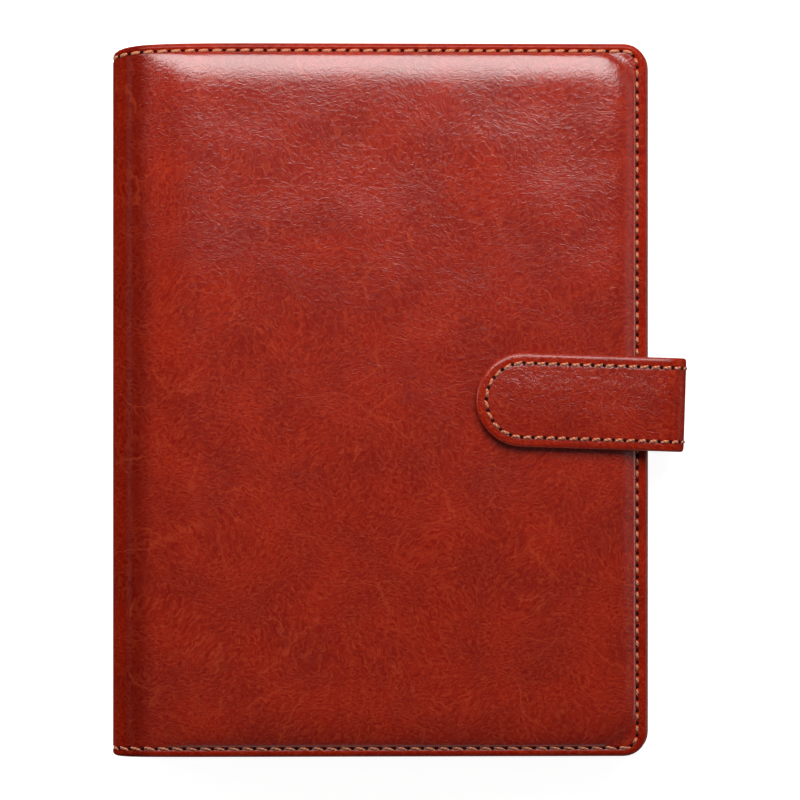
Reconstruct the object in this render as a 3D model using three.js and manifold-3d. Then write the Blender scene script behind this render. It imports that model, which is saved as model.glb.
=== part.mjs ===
// A loose-leaf notebook: a padded leather cover with a rolled spine, a six-ring
// mechanism riveted to the spine, punched paper, and a strap that snaps shut.
// Millimetres, +Z up. The book lies on its back cover, with its spine at -X.
import * as THREE from 'three';
import { mergeVertices } from 'three/addons/utils/BufferGeometryUtils.js';
import Module from 'manifold-3d';

const wasm = await Module();
wasm.setup();

// The cover
const COVER_WIDTH = 173;
const COVER_HEIGHT = 230;
const CORNER_RADIUS = 7.5;
const SPINE_THICKNESS = 40;
const COVER_TILT = 5.5;
const LEATHER = 1.2;
const BOARD = 1.8;
const LINING = 0.7;
const LAYER_GAP = 0.15;
const FRONT_CROWN = 2.5;
const BACK_CROWN = 2;
const CROWN_ROLL = 8;
const HEM_WIDTH = 5.5;
const SPINE_ROLL = 10;
const HINGE_INSET = 2;
const ROLL_SPLIT_GAP = 0.3;

// The ring mechanism
const RING_RADIUS = 10;
const RING_WIRE = 2.8;
const RING_GROUP_START = 35;
const RING_PITCH = 19;
const RINGS_PER_GROUP = 3;
const RING_CENTRE_X = 17;
const RING_ARC_END = 135;
const LEG_BEND = 2.5;
const PLATE_LENGTH = 184;
const PLATE_WIDTH = 18;
const PLATE_CROWN = 2.6;
const PLATE_STEEL = 0.8;
const PLATE_RISE = 5.2;
const LEAF_STEEL = 0.9;
const LEAF_LENGTH = 168;
const RIVET_SPACING = 127;
const RIVET_SHAFT = 3;
const RIVET_HEAD = 5.5;
const TRIGGER_WIDTH = 7;
const TRIGGER_REACH = 9;
const TRIGGER_FOOT = 4.4;
const TRIGGER_PIN = 1.8;
const TRIGGER_STEEL = 0.5;
const RUNNING_GAP = 0.3;

// The paper
const PAGE_WIDTH = 142;
const PAGE_HEIGHT = 210;
const STACK = 12;
const HOLE = 6;
const HOLE_INSET = 6;
const HOLE_LEAN = 0.06;
const SHEET_GAP = 0.15;
const CARD = 0.4;
const TAB_REACH = 4.5;
const TAB_LENGTH = 36;
const PAGE_REST_CLEARANCE = 0.5;

// The pockets inside the covers
const POCKET_SHEET = 0.6;
const POCKET_INSET = 5.5;
const POCKET_START = 30;
const CARD_SLOT = [90, 34];

// The strap and its snap
const STRAP_WIDTH = 30.3;
const STRAP_LEATHER = 1.4;
const STRAP_LINING = 1;
const STRAP_PLY_GAP = 0.2;
const STRAP_PAST_EDGE = 11.6;
const STRAP_REACH = COVER_WIDTH + STRAP_PAST_EDGE;
const STRAP_SKEW = 1.85;
const STRAP_ROOT_LENGTH = 14;
const STRAP_LOWER_ROLL = 8;
const STRAP_UPPER_ROLL = 6;
const STRAP_HINGE_INSET = 1;
const SNAP_INSET = 41;
const SNAP_X = COVER_WIDTH - SNAP_INSET;
const TONGUE_GAP = 1.4;
const SNAP_STUD = 4.4;
const SNAP_BORE = 5.2;

// Values that follow from the sizes above
const SKIN = LEATHER + LAYER_GAP;
const HEM = SKIN + BOARD + LAYER_GAP + LINING;
const STRAP_THICKNESS = STRAP_LEATHER + STRAP_PLY_GAP + STRAP_LINING;
const BACK_HINGE = new THREE.Vector2(HINGE_INSET, BACK_CROWN + HINGE_INSET);
const FRONT_HINGE = new THREE.Vector2(HINGE_INSET, BACK_CROWN + SPINE_THICKNESS - HINGE_INSET);
const RING_CENTRE = new THREE.Vector2(RING_CENTRE_X, BACK_CROWN + SPINE_THICKNESS / 2);
const TILT = THREE.MathUtils.degToRad(COVER_TILT);
const SKEW = THREE.MathUtils.degToRad(STRAP_SKEW);
const ARC_STEPS = 9;

// How far a cutting or bounding shape runs past the piece that it trims.
const CUT_PAST = 25;

const COLOURS = {
  leather: [0x962a18, 0.36, 0],
  lining: [0x7a4a33, 0.8, 0],
  pocket: [0x6d402c, 0.75, 0],
  board: [0x8f8676, 0.9, 0],
  foam: [0xd8cfbd, 0.95, 0],
  steel: [0xc9ccd0, 0.2, 1],
  paper: [0xf1ebdb, 0.85, 0],
  card: [0xcdb893, 0.8, 0],
  film: [0xdfe5e8, 0.3, 0],
};

const part = new THREE.Group();

// Solids

function toSolid(geometry) {
  const bare = geometry.index ? geometry.toNonIndexed() : geometry.clone();
  bare.deleteAttribute('normal');
  bare.deleteAttribute('uv');
  const merged = mergeVertices(bare, 1e-4);
  return new wasm.Manifold(new wasm.Mesh({
    numProp: 3,
    vertProperties: Float32Array.from(merged.attributes.position.array),
    triVerts: Uint32Array.from(merged.index.array),
  }));
}

function toGeometry(solid) {
  const mesh = solid.getMesh();
  const geometry = new THREE.BufferGeometry();
  const positions = new Float32Array(mesh.numVert * 3);
  for (let i = 0; i < mesh.numVert; i += 1) {
    for (let k = 0; k < 3; k += 1) {
      positions[i * 3 + k] = mesh.vertProperties[i * mesh.numProp + k];
    }
  }
  geometry.setAttribute('position', new THREE.BufferAttribute(positions, 3));
  geometry.setIndex(new THREE.BufferAttribute(Uint32Array.from(mesh.triVerts), 1));
  return geometry;
}

function cut(geometry, ...tools) {
  let solid = toSolid(geometry);
  for (const tool of tools) {
    solid = solid.subtract(toSolid(tool));
  }
  return toGeometry(solid);
}

function join(geometry, ...others) {
  let solid = toSolid(geometry);
  for (const other of others) {
    solid = solid.add(toSolid(other));
  }
  return toGeometry(solid);
}

function addPiece(holder, name, geometry, finish) {
  const [color, roughness, metalness] = COLOURS[finish];
  const material = new THREE.MeshStandardMaterial({ color, roughness, metalness });
  geometry.computeVertexNormals();
  const mesh = new THREE.Mesh(geometry, material);
  mesh.name = name;
  holder.add(mesh);
  return mesh;
}

// Outlines

function roundedEdgeShape(x0, x1, halfHeight, radius) {
  const r = Math.max(radius, 0.5);
  const shape = new THREE.Shape();
  shape.moveTo(x0, -halfHeight);
  shape.lineTo(x1 - r, -halfHeight);
  shape.absarc(x1 - r, -halfHeight + r, r, -Math.PI / 2, 0, false);
  shape.lineTo(x1, halfHeight - r);
  shape.absarc(x1 - r, halfHeight - r, r, 0, Math.PI / 2, false);
  shape.lineTo(x0, halfHeight);
  shape.closePath();
  return shape;
}

function rectangle(x0, x1, y0, y1) {
  const shape = new THREE.Shape();
  shape.moveTo(x0, y0);
  shape.lineTo(x1, y0);
  shape.lineTo(x1, y1);
  shape.lineTo(x0, y1);
  shape.closePath();
  return shape;
}

// A flat sheet of an outline in X and Y, from height z0 to z1.
function plate(shape, z0, z1) {
  const geometry = new THREE.ExtrudeGeometry(shape, {
    depth: z1 - z0, bevelEnabled: false, curveSegments: 6,
  });
  geometry.translate(0, 0, z0);
  return geometry;
}

// A pillow: flat below at z0, rising to z1 over CROWN_ROLL inside its outline.
function pillow(x0, x1, halfHeight, z0, z1) {
  const inner = roundedEdgeShape(
    x0 + CROWN_ROLL, x1 - CROWN_ROLL, halfHeight - CROWN_ROLL, CORNER_RADIUS,
  );
  const geometry = new THREE.ExtrudeGeometry(inner, {
    depth: 0.4,
    bevelEnabled: true,
    bevelSize: CROWN_ROLL,
    bevelThickness: z1 - z0,
    bevelSegments: 5,
    curveSegments: 5,
  });
  const lower = plate(
    rectangle(x0 - CUT_PAST, x1 + CUT_PAST, -halfHeight - CUT_PAST, halfHeight + CUT_PAST),
    z0 - CUT_PAST, z0,
  );
  geometry.translate(0, 0, z0 - 0.4);
  return cut(geometry, lower);
}

// A profile in X and Z, drawn as X and Y, pushed along Y between two places.
function sweepAlongY(shape, y0, y1) {
  const geometry = new THREE.ExtrudeGeometry(shape, {
    depth: y1 - y0, bevelEnabled: false, curveSegments: ARC_STEPS,
  });
  geometry.rotateX(Math.PI / 2);
  geometry.translate(0, y1, 0);
  return geometry;
}

// A bent band in X and Z: an arc about a centre, then a straight run on from its first end.
function bandShape(centre, outerRadius, thickness, startAngle, endAngle, straight) {
  const inner = outerRadius - thickness;
  const start = new THREE.Vector2(Math.cos(startAngle), Math.sin(startAngle));
  const turn = Math.sign(endAngle - startAngle);
  const along = new THREE.Vector2(start.y, -start.x).multiplyScalar(turn * straight);
  const outerStart = centre.clone().addScaledVector(start, outerRadius);
  const innerStart = centre.clone().addScaledVector(start, inner);
  const shape = new THREE.Shape();
  shape.moveTo(innerStart.x + along.x, innerStart.y + along.y);
  shape.lineTo(outerStart.x + along.x, outerStart.y + along.y);
  shape.lineTo(outerStart.x, outerStart.y);
  shape.absarc(centre.x, centre.y, outerRadius, startAngle, endAngle, turn < 0);
  shape.absarc(centre.x, centre.y, inner, endAngle, startAngle, turn > 0);
  shape.closePath();
  return shape;
}

// Both half-rolls at a corner meet at its middle, with a small slit between them.
function splitAngle(radius) {
  return ROLL_SPLIT_GAP / 2 / radius;
}

// The covers. Each is made flat, X across from the spine and Z outward from
// its inner face, and then turned into place.

function coverFrame(turn) {
  const rollCentreX = HINGE_INSET + (SPINE_ROLL - HINGE_INSET) * Math.tan(turn / 2);
  return { turn, rollX: rollCentreX, rollZ: HEM - SPINE_ROLL };
}

function coverLeather(frame, crown) {
  const skinZ = LINING + LAYER_GAP;
  const hem = plate(
    roundedEdgeShape(frame.rollX, COVER_WIDTH, COVER_HEIGHT / 2, CORNER_RADIUS), skinZ, HEM,
  );
  const top = pillow(
    frame.rollX + 1, COVER_WIDTH - HEM_WIDTH, COVER_HEIGHT / 2 - HEM_WIDTH, HEM - 0.2, HEM + crown,
  );
  const centre = new THREE.Vector2(frame.rollX, frame.rollZ);
  const end = Math.PI / 2 + frame.turn / 2 - splitAngle(SPINE_ROLL);
  const roll = sweepAlongY(
    bandShape(centre, SPINE_ROLL, LEATHER, Math.PI / 2, end, 1), -COVER_HEIGHT / 2, COVER_HEIGHT / 2,
  );
  const boardSpace = plate(
    rectangle(
      boardStart(frame) - LAYER_GAP, boardEnd() + LAYER_GAP,
      -boardHalfHeight() - LAYER_GAP, boardHalfHeight() + LAYER_GAP,
    ),
    skinZ - 5, HEM - LEATHER,
  );
  const padSpace = pillow(
    frame.rollX + 1 + LEATHER, COVER_WIDTH - HEM_WIDTH - LEATHER,
    COVER_HEIGHT / 2 - HEM_WIDTH - LEATHER, HEM - LEATHER - 0.1, HEM + crown - LEATHER,
  );
  return cut(join(hem, top, roll), boardSpace, padSpace);
}

function boardStart(frame) {
  return frame.rollX + 2;
}

function boardEnd() {
  return COVER_WIDTH - HEM_WIDTH - LEATHER;
}

function boardHalfHeight() {
  return COVER_HEIGHT / 2 - HEM_WIDTH - LEATHER;
}

function coverBoard(frame, notch) {
  const z0 = LINING + LAYER_GAP;
  const sheet = plate(
    rectangle(boardStart(frame), boardEnd(), -boardHalfHeight(), boardHalfHeight()), z0, z0 + BOARD,
  );
  return notch ? cut(sheet, notch) : sheet;
}

function coverPad(frame, crown) {
  const inset = LEATHER + LAYER_GAP;
  return pillow(
    frame.rollX + 1 + inset, COVER_WIDTH - HEM_WIDTH - inset,
    COVER_HEIGHT / 2 - HEM_WIDTH - inset, HEM - LEATHER, HEM + crown - inset,
  );
}

function coverLining(frame) {
  const inset = 0.8;
  return plate(
    roundedEdgeShape(
      frame.rollX + 0.3, COVER_WIDTH - inset, COVER_HEIGHT / 2 - inset, CORNER_RADIUS - inset,
    ),
    0, LINING,
  );
}

// A pocket sheet sewn over the lining, with its mouth scooped for a thumb.
function slipPocket() {
  const halfHeight = COVER_HEIGHT / 2 - POCKET_INSET;
  const sheet = plate(
    roundedEdgeShape(POCKET_START, COVER_WIDTH - POCKET_INSET, halfHeight, CORNER_RADIUS - 3),
    -RUNNING_GAP - POCKET_SHEET, -RUNNING_GAP,
  );
  const scoop = new THREE.CylinderGeometry(14, 14, 10, 24);
  scoop.rotateX(Math.PI / 2);
  scoop.scale(0.6, 1, 1);
  scoop.translate(POCKET_START, 0, -RUNNING_GAP);
  return cut(sheet, scoop);
}

// Card slots sit on the front pocket, one above another.
function cardSlot(index) {
  const [width, height] = CARD_SLOT;
  const z1 = -2 * RUNNING_GAP - POCKET_SHEET;
  const x0 = POCKET_START + 6;
  const y0 = -COVER_HEIGHT / 2 + 22 + index * (height + 1);
  const sheet = plate(rectangle(x0, x0 + width, y0, y0 + height), z1 - POCKET_SHEET, z1);
  const scoop = new THREE.CylinderGeometry(9, 9, 10, 20);
  scoop.rotateX(Math.PI / 2);
  scoop.scale(1, 0.6, 1);
  scoop.translate(x0 + width / 2, y0 + height, z1);
  return cut(sheet, scoop);
}

function placeFrontCover() {
  const holder = new THREE.Group();
  holder.position.set(FRONT_HINGE.x, 0, FRONT_HINGE.y);
  holder.rotation.y = TILT;
  const flat = new THREE.Group();
  flat.position.set(-HINGE_INSET, 0, -(HEM - HINGE_INSET));
  holder.add(flat);
  part.add(holder);
  return flat;
}

function placeBackCover() {
  const flat = new THREE.Group();
  flat.position.set(0, 0, BACK_CROWN + HEM);
  flat.rotation.x = Math.PI;
  part.add(flat);
  return flat;
}

// Discs and bores about Z, from height z0 to z1.
function disc(radius, z0, z1, x = 0, y = 0, sides = 20) {
  const geometry = new THREE.CylinderGeometry(radius, radius, z1 - z0, sides);
  geometry.rotateX(Math.PI / 2);
  geometry.translate(x, y, (z0 + z1) / 2);
  return geometry;
}

function snapSocket(crownZ) {
  const flange = disc(6.2, crownZ + 0.15, crownZ + 0.75);
  const barrel = disc(3.5, crownZ - 2.85, crownZ + 0.5);
  const bore = disc(SNAP_BORE / 2, crownZ - 2.2, crownZ + 5);
  const socket = cut(join(flange, barrel), bore);
  socket.translate(SNAP_X, 0, 0);
  return socket;
}

function snapBackplate() {
  const z0 = HEM - LEATHER + 0.02;
  return cut(disc(5.5, z0, z0 + 0.6, SNAP_X), disc(3.2, z0 - 1, z0 + 2, SNAP_X));
}

function addFrontCover() {
  const flat = placeFrontCover();
  const frame = coverFrame(Math.PI / 2 + TILT);
  const crownZ = HEM + FRONT_CROWN;
  const socketWay = disc(3.8, HEM - LEATHER - 0.05, crownZ + 5, SNAP_X);
  const washerWay = disc(5.8, HEM - LEATHER - 1, HEM - LEATHER + 0.85, SNAP_X);
  addPiece(flat, 'front_leather', cut(coverLeather(frame, FRONT_CROWN), socketWay), 'leather');
  const pad = cut(coverPad(frame, FRONT_CROWN), socketWay, washerWay);
  addPiece(flat, 'front_foam_pad', pad, 'foam');
  addPiece(flat, 'front_board', coverBoard(frame), 'board');
  addPiece(flat, 'front_lining', coverLining(frame), 'lining');
  addPiece(flat, 'front_slip_pocket', slipPocket(), 'pocket');
  for (let i = 0; i < 3; i += 1) {
    addPiece(flat, `card_slot_${i + 1}`, cardSlot(i), 'pocket');
  }
  addPiece(flat, 'snap_socket', snapSocket(crownZ), 'steel');
  addPiece(flat, 'snap_backplate', snapBackplate(), 'steel');
}

// The strap's root lies in the back cover's edge, in a notch of the board.

const ROOT_TOP = BACK_CROWN + SKIN + BOARD;
const ROOT_BOTTOM = BACK_CROWN + SKIN;

// Turns a piece from the strap's own straight frame to its slight slant.
function slant(geometry) {
  const snapX = snapWorld().x;
  geometry.translate(-snapX, 0, 0);
  geometry.rotateZ(-SKEW);
  geometry.translate(snapX, 0, 0);
  return geometry;
}

function snapWorld() {
  const along = SNAP_X - HINGE_INSET;
  const out = HEM - HINGE_INSET + FRONT_CROWN;
  return new THREE.Vector2(
    FRONT_HINGE.x + along * Math.cos(TILT) + out * Math.sin(TILT),
    FRONT_HINGE.y - along * Math.sin(TILT) + out * Math.cos(TILT),
  );
}

function rootStart() {
  return COVER_WIDTH - STRAP_ROOT_LENGTH;
}

function rootSpace(clearance, reach) {
  const half = STRAP_WIDTH / 2 + clearance;
  return slant(plate(
    rectangle(rootStart() - clearance, COVER_WIDTH + reach, -half, half),
    ROOT_BOTTOM - LAYER_GAP, ROOT_TOP + LAYER_GAP,
  ));
}

// The same space in the back cover's own flat frame.
function rootSpaceInCover(clearance, reach) {
  const space = rootSpace(clearance, reach);
  space.translate(0, 0, -(BACK_CROWN + HEM));
  space.rotateX(-Math.PI);
  return space;
}

function addBackCover() {
  const flat = placeBackCover();
  const frame = coverFrame(Math.PI / 2);
  const rootWay = rootSpaceInCover(0.3, 10);
  addPiece(flat, 'back_leather', cut(coverLeather(frame, BACK_CROWN), rootWay), 'leather');
  addPiece(flat, 'back_foam_pad', coverPad(frame, BACK_CROWN), 'foam');
  addPiece(flat, 'back_board', coverBoard(frame, rootWay), 'board');
  addPiece(flat, 'back_lining', coverLining(frame), 'lining');
  addPiece(flat, 'back_slip_pocket', slipPocket(), 'pocket');
}

// The strap, as bands in X and Z across its width.

function strapCorners() {
  const lowerAxis = new THREE.Vector2(STRAP_REACH - STRAP_HINGE_INSET, ROOT_BOTTOM + STRAP_HINGE_INSET);
  const snap = snapWorld();
  const rise = TONGUE_GAP + STRAP_THICKNESS - STRAP_HINGE_INSET;
  const axisX = STRAP_REACH - STRAP_HINGE_INSET;
  const along = (axisX - snap.x - rise * Math.sin(TILT)) / Math.cos(TILT);
  const upperAxis = new THREE.Vector2(
    axisX, snap.y + rise * Math.cos(TILT) - along * Math.sin(TILT),
  );
  return { lowerAxis, upperAxis };
}

// The roll centre at a strap corner, from its hinge axis and the turn there.
function strapRoll(axis, radius, turn, side) {
  const reach = (radius - STRAP_HINGE_INSET) * Math.tan(turn / 2);
  return new THREE.Vector2(axis.x - (radius - STRAP_HINGE_INSET), axis.y + side * reach);
}

function acrossStrap(shape) {
  return slant(sweepAlongY(shape, -STRAP_WIDTH / 2, STRAP_WIDTH / 2));
}

function strapRoot() {
  const { lowerAxis } = strapCorners();
  const turn = Math.PI / 2;
  const centre = strapRoll(lowerAxis, STRAP_LOWER_ROLL, turn, 1);
  const end = -Math.PI / 2 + turn / 2 - splitAngle(STRAP_LOWER_ROLL);
  const straight = centre.x - rootStart();
  return acrossStrap(
    bandShape(centre, STRAP_LOWER_ROLL, ROOT_TOP - ROOT_BOTTOM, -Math.PI / 2, end, straight),
  );
}

// One ply of the upright side: half the lower roll, a flat, half the upper roll.
function strapSidePly(depth, thickness) {
  const { lowerAxis, upperAxis } = strapCorners();
  const upperTurn = Math.PI / 2 - TILT;
  const lower = strapRoll(lowerAxis, STRAP_LOWER_ROLL, Math.PI / 2, 1);
  const upper = strapRoll(upperAxis, STRAP_UPPER_ROLL, upperTurn, -1);
  const lowerStart = -Math.PI / 4 + splitAngle(STRAP_LOWER_ROLL);
  const upperEnd = upperTurn / 2 - splitAngle(STRAP_UPPER_ROLL);
  const shape = new THREE.Shape();
  const lowerOuter = STRAP_LOWER_ROLL - depth;
  const upperOuter = STRAP_UPPER_ROLL - depth;
  shape.absarc(lower.x, lower.y, lowerOuter, lowerStart, 0, false);
  shape.absarc(upper.x, upper.y, upperOuter, 0, upperEnd, false);
  shape.absarc(upper.x, upper.y, upperOuter - thickness, upperEnd, 0, true);
  shape.absarc(lower.x, lower.y, lowerOuter - thickness, 0, lowerStart, true);
  shape.closePath();
  return acrossStrap(shape);
}

// One ply of the tongue: half the upper roll, then flat to its full-round nose.
function strapTonguePly(depth, thickness) {
  const { upperAxis } = strapCorners();
  const turn = Math.PI / 2 - TILT;
  const centre = strapRoll(upperAxis, STRAP_UPPER_ROLL, turn, -1);
  const start = turn;
  const end = turn / 2 + splitAngle(STRAP_UPPER_ROLL);
  const snap = snapWorld();
  const straight = (centre.x - snap.x) / Math.cos(TILT) + STRAP_WIDTH;
  const band = acrossStrap(
    bandShape(centre, STRAP_UPPER_ROLL - depth, thickness, start, end, straight),
  );
  return toGeometry(toSolid(band).intersect(toSolid(tongueOutline())));
}

function tongueOutline() {
  const half = STRAP_WIDTH / 2;
  const snapX = snapWorld().x;
  const shape = new THREE.Shape();
  shape.absarc(snapX, 0, half + 0.001, Math.PI / 2, Math.PI * 1.5, false);
  shape.lineTo(STRAP_REACH + CUT_PAST, -half - 0.001);
  shape.lineTo(STRAP_REACH + CUT_PAST, half + 0.001);
  shape.closePath();
  const geometry = new THREE.ExtrudeGeometry(shape, {
    depth: SPINE_THICKNESS + CUT_PAST, bevelEnabled: false, curveSegments: 20,
  });
  return slant(geometry);
}

// The stud under the tongue, along the tilted cover's own normal.
function atSnap(geometry) {
  const snap = snapWorld();
  geometry.rotateY(TILT);
  geometry.translate(snap.x, 0, snap.y);
  return geometry;
}

function snapStud() {
  const flange = disc(5.2, 0.9, TONGUE_GAP - LAYER_GAP);
  const post = disc(SNAP_STUD / 2 - 0.35, -1, 1);
  const bead = disc(SNAP_STUD / 2, -1.7, -0.7);
  const stem = disc(1.5, TONGUE_GAP - 0.3, TONGUE_GAP + STRAP_LINING);
  return atSnap(join(flange, post, bead, stem));
}

function addStrap() {
  const depth = STRAP_LEATHER + STRAP_PLY_GAP;
  addPiece(part, 'strap_root', strapRoot(), 'leather');
  addPiece(part, 'strap_side_leather', strapSidePly(0, STRAP_LEATHER), 'leather');
  addPiece(part, 'strap_side_lining', strapSidePly(depth, STRAP_LINING), 'lining');
  addPiece(part, 'strap_tongue_leather', strapTonguePly(0, STRAP_LEATHER), 'leather');
  const stemWay = atSnap(disc(1.8, TONGUE_GAP - 1, TONGUE_GAP + STRAP_LINING + 0.1));
  const lining = cut(strapTonguePly(depth, STRAP_LINING), stemWay);
  addPiece(part, 'strap_tongue_lining', lining, 'lining');
  addPiece(part, 'snap_stud', snapStud(), 'steel');
}

// The spine: a leather back with both rolls, a stiffener and a lining.

function spineLeather() {
  const frontTurn = Math.PI / 2 + TILT;
  const backReach = (SPINE_ROLL - HINGE_INSET) * Math.tan(Math.PI / 4);
  const frontReach = (SPINE_ROLL - HINGE_INSET) * Math.tan(frontTurn / 2);
  const backZ = BACK_HINGE.y + backReach;
  const frontZ = FRONT_HINGE.y - frontReach;
  const backEnd = Math.PI * 1.25 - splitAngle(SPINE_ROLL);
  const frontEnd = Math.PI - frontTurn / 2 + splitAngle(SPINE_ROLL);
  const inner = SPINE_ROLL - LEATHER;
  const shape = new THREE.Shape();
  shape.absarc(SPINE_ROLL, frontZ, SPINE_ROLL, frontEnd, Math.PI, false);
  shape.absarc(SPINE_ROLL, backZ, SPINE_ROLL, Math.PI, backEnd, false);
  shape.absarc(SPINE_ROLL, backZ, inner, backEnd, Math.PI, true);
  shape.absarc(SPINE_ROLL, frontZ, inner, Math.PI, frontEnd, true);
  shape.closePath();
  return sweepAlongY(shape, -COVER_HEIGHT / 2, COVER_HEIGHT / 2);
}

const SPINE_INNER = HEM;
const SPINE_LOW = BACK_HINGE.y + SPINE_ROLL - HINGE_INSET + 1;
const SPINE_HIGH = FRONT_HINGE.y - SPINE_ROLL + HINGE_INSET - 2;

function spineSheet(x0, x1, z0, z1, halfHeight) {
  return sweepAlongY(rectangle(x0, x1, z0, z1), -halfHeight, halfHeight);
}

// A bore across the spine, along X, at a place along the book.
function boreAlongX(radius, x0, x1, y, z, sides = 14) {
  const geometry = new THREE.CylinderGeometry(radius, radius, x1 - x0, sides);
  geometry.rotateZ(Math.PI / 2);
  geometry.translate((x0 + x1) / 2, y, z);
  return geometry;
}

function rivetPlaces() {
  return [RIVET_SPACING / 2, -RIVET_SPACING / 2];
}

function rivetWays(clearance) {
  return rivetPlaces().map(
    (y) => boreAlongX(RIVET_SHAFT / 2 + clearance, LEATHER - 0.2, CUT_PAST, y, RING_CENTRE.y),
  );
}

function rivet(y) {
  const headX = SPINE_INNER + PLATE_RISE + RUNNING_GAP;
  const r = RIVET_SHAFT / 2;
  const foot = SKIN + 0.02;
  const profile = [
    [0, foot], [r + 0.9, foot], [r + 0.9, foot + 0.4], [r, foot + 0.6], [r, headX],
    [RIVET_HEAD / 2, headX], [RIVET_HEAD / 2 - 0.3, headX + 0.5], [RIVET_HEAD / 4, headX + 0.9],
    [0, headX + 1],
  ];
  const geometry = new THREE.LatheGeometry(profile.map(([a, b]) => new THREE.Vector2(a, b)), 14);
  geometry.rotateZ(-Math.PI / 2);
  geometry.translate(0, y, RING_CENTRE.y);
  return geometry;
}

function addSpine() {
  addPiece(part, 'spine_leather', spineLeather(), 'leather');
  const boardHalf = boardHalfHeight();
  const footWays = rivetPlaces().map((y) => boreAlongX(
    RIVET_SHAFT / 2 + 1.2, SKIN - 1, SKIN + 0.8, y, RING_CENTRE.y,
  ));
  const board = cut(
    spineSheet(SKIN, SKIN + BOARD, SPINE_LOW, SPINE_HIGH, boardHalf),
    ...rivetWays(RUNNING_GAP), ...footWays,
  );
  addPiece(part, 'spine_board', board, 'board');
  const lining = cut(
    spineSheet(HEM - LINING, HEM, SPINE_LOW - 3, SPINE_HIGH + 1, COVER_HEIGHT / 2 - 1),
    ...rivetWays(RUNNING_GAP),
  );
  addPiece(part, 'spine_lining', lining, 'lining');
}

// The ring mechanism. An arched steel plate holds two long leaves by their
// outer edges. Half-rings are riveted into the leaves, and a trigger at each
// end tips the leaves and parts the rings.

const PLATE_TOP = SPINE_INNER + PLATE_RISE;
const PLATE_FOOT = SPINE_INNER + RUNNING_GAP;
const LIP_STEEL = 0.5;
const LEAF_BOTTOM = PLATE_FOOT + LIP_STEEL + RUNNING_GAP;
const LEAF_TOP = LEAF_BOTTOM + LEAF_STEEL;
const LEAF_PIVOT = new THREE.Vector2(
  (LEAF_BOTTOM + LEAF_TOP) / 2, PLATE_WIDTH / 2 - PLATE_STEEL - RUNNING_GAP - LEAF_STEEL / 2,
);

// The arch of the plate, as X over the spine against Z across it.
function archShape(inset, foot) {
  const half = PLATE_WIDTH / 2;
  const radius = (half * half + PLATE_CROWN * PLATE_CROWN) / (2 * PLATE_CROWN);
  const centreX = PLATE_TOP - radius;
  const r = radius - inset;
  const w = half - inset;
  const angle = Math.asin(w / r);
  const shape = new THREE.Shape();
  shape.moveTo(foot, RING_CENTRE.y + w);
  shape.lineTo(foot, RING_CENTRE.y - w);
  shape.absarc(centreX, RING_CENTRE.y, r, -angle, angle, false);
  shape.closePath();
  return shape;
}

function ringPlaces() {
  const places = [];
  for (const side of [1, -1]) {
    for (let i = 0; i < RINGS_PER_GROUP; i += 1) {
      places.push(side * (RING_GROUP_START + i * RING_PITCH));
    }
  }
  return places;
}

function slab(x0, x1, y0, y1, z0, z1) {
  const geometry = new THREE.BoxGeometry(x1 - x0, y1 - y0, z1 - z0);
  geometry.translate((x0 + x1) / 2, (y0 + y1) / 2, (z0 + z1) / 2);
  return geometry;
}

function ringCoverPlate() {
  const half = PLATE_LENGTH / 2;
  const outer = sweepAlongY(archShape(0, PLATE_FOOT), -half, half);
  const inner = sweepAlongY(archShape(PLATE_STEEL, PLATE_FOOT + LIP_STEEL), -half - 1, half + 1);
  const lipIn = LEAF_PIVOT.y - LEAF_STEEL;
  const z = RING_CENTRE.y;
  const throat = slab(0, PLATE_FOOT + LIP_STEEL + 0.1, -half - 1, half + 1, z - lipIn, z + lipIn);
  const cuts = [inner, throat];
  const slotHalf = RING_WIRE / 2 + RUNNING_GAP + 0.2;
  const leg = legPlace();
  for (const y of ringPlaces()) {
    for (const side of [1, -1]) {
      const middle = z + side * (leg + 0.4);
      const reach = RING_WIRE / 2 + 0.9;
      cuts.push(slab(
        LEAF_TOP, PLATE_TOP + 2, y - slotHalf, y + slotHalf, middle - reach, middle + reach,
      ));
    }
  }
  for (const side of [1, -1]) {
    const y0 = side * (LEAF_LENGTH / 2 + 0.6);
    const y1 = side * (half + 1);
    const wide = TRIGGER_WIDTH / 2 + 0.8;
    cuts.push(slab(
      LEAF_TOP, PLATE_TOP + 2, Math.min(y0, y1), Math.max(y0, y1), z - wide, z + wide,
    ));
  }
  return cut(outer, ...cuts, ...rivetWays(RUNNING_GAP));
}

// How far across the spine a ring's straight leg stands from the middle.
function legPlace() {
  const end = THREE.MathUtils.degToRad(RING_ARC_END);
  return RING_RADIUS * Math.sin(end) - LEG_BEND * (1 - Math.cos(Math.PI - end));
}

// The path of a half-ring's wire, from its tip over the ring to its leg.
function halfRingPath() {
  const end = THREE.MathUtils.degToRad(RING_ARC_END);
  const tip = RUNNING_GAP / 2 / RING_RADIUS;
  const bend = Math.PI - end;
  const points = [];
  const arcSteps = 9;
  for (let i = 0; i <= arcSteps; i += 1) {
    const a = tip + (end - tip) * (i / arcSteps);
    points.push([RING_CENTRE.x + RING_RADIUS * Math.cos(a), RING_RADIUS * Math.sin(a)]);
  }
  const last = points[points.length - 1];
  const bendCentre = [last[0] + LEG_BEND * Math.cos(end), last[1] + LEG_BEND * Math.sin(end)];
  const bendSteps = 2;
  for (let i = 1; i <= bendSteps; i += 1) {
    const a = end + Math.PI - bend * (i / bendSteps);
    points.push([bendCentre[0] + LEG_BEND * Math.cos(a), bendCentre[1] + LEG_BEND * Math.sin(a)]);
  }
  const leg = points[points.length - 1];
  points.push([LEAF_TOP + RUNNING_GAP, leg[1]]);
  return points;
}

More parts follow.
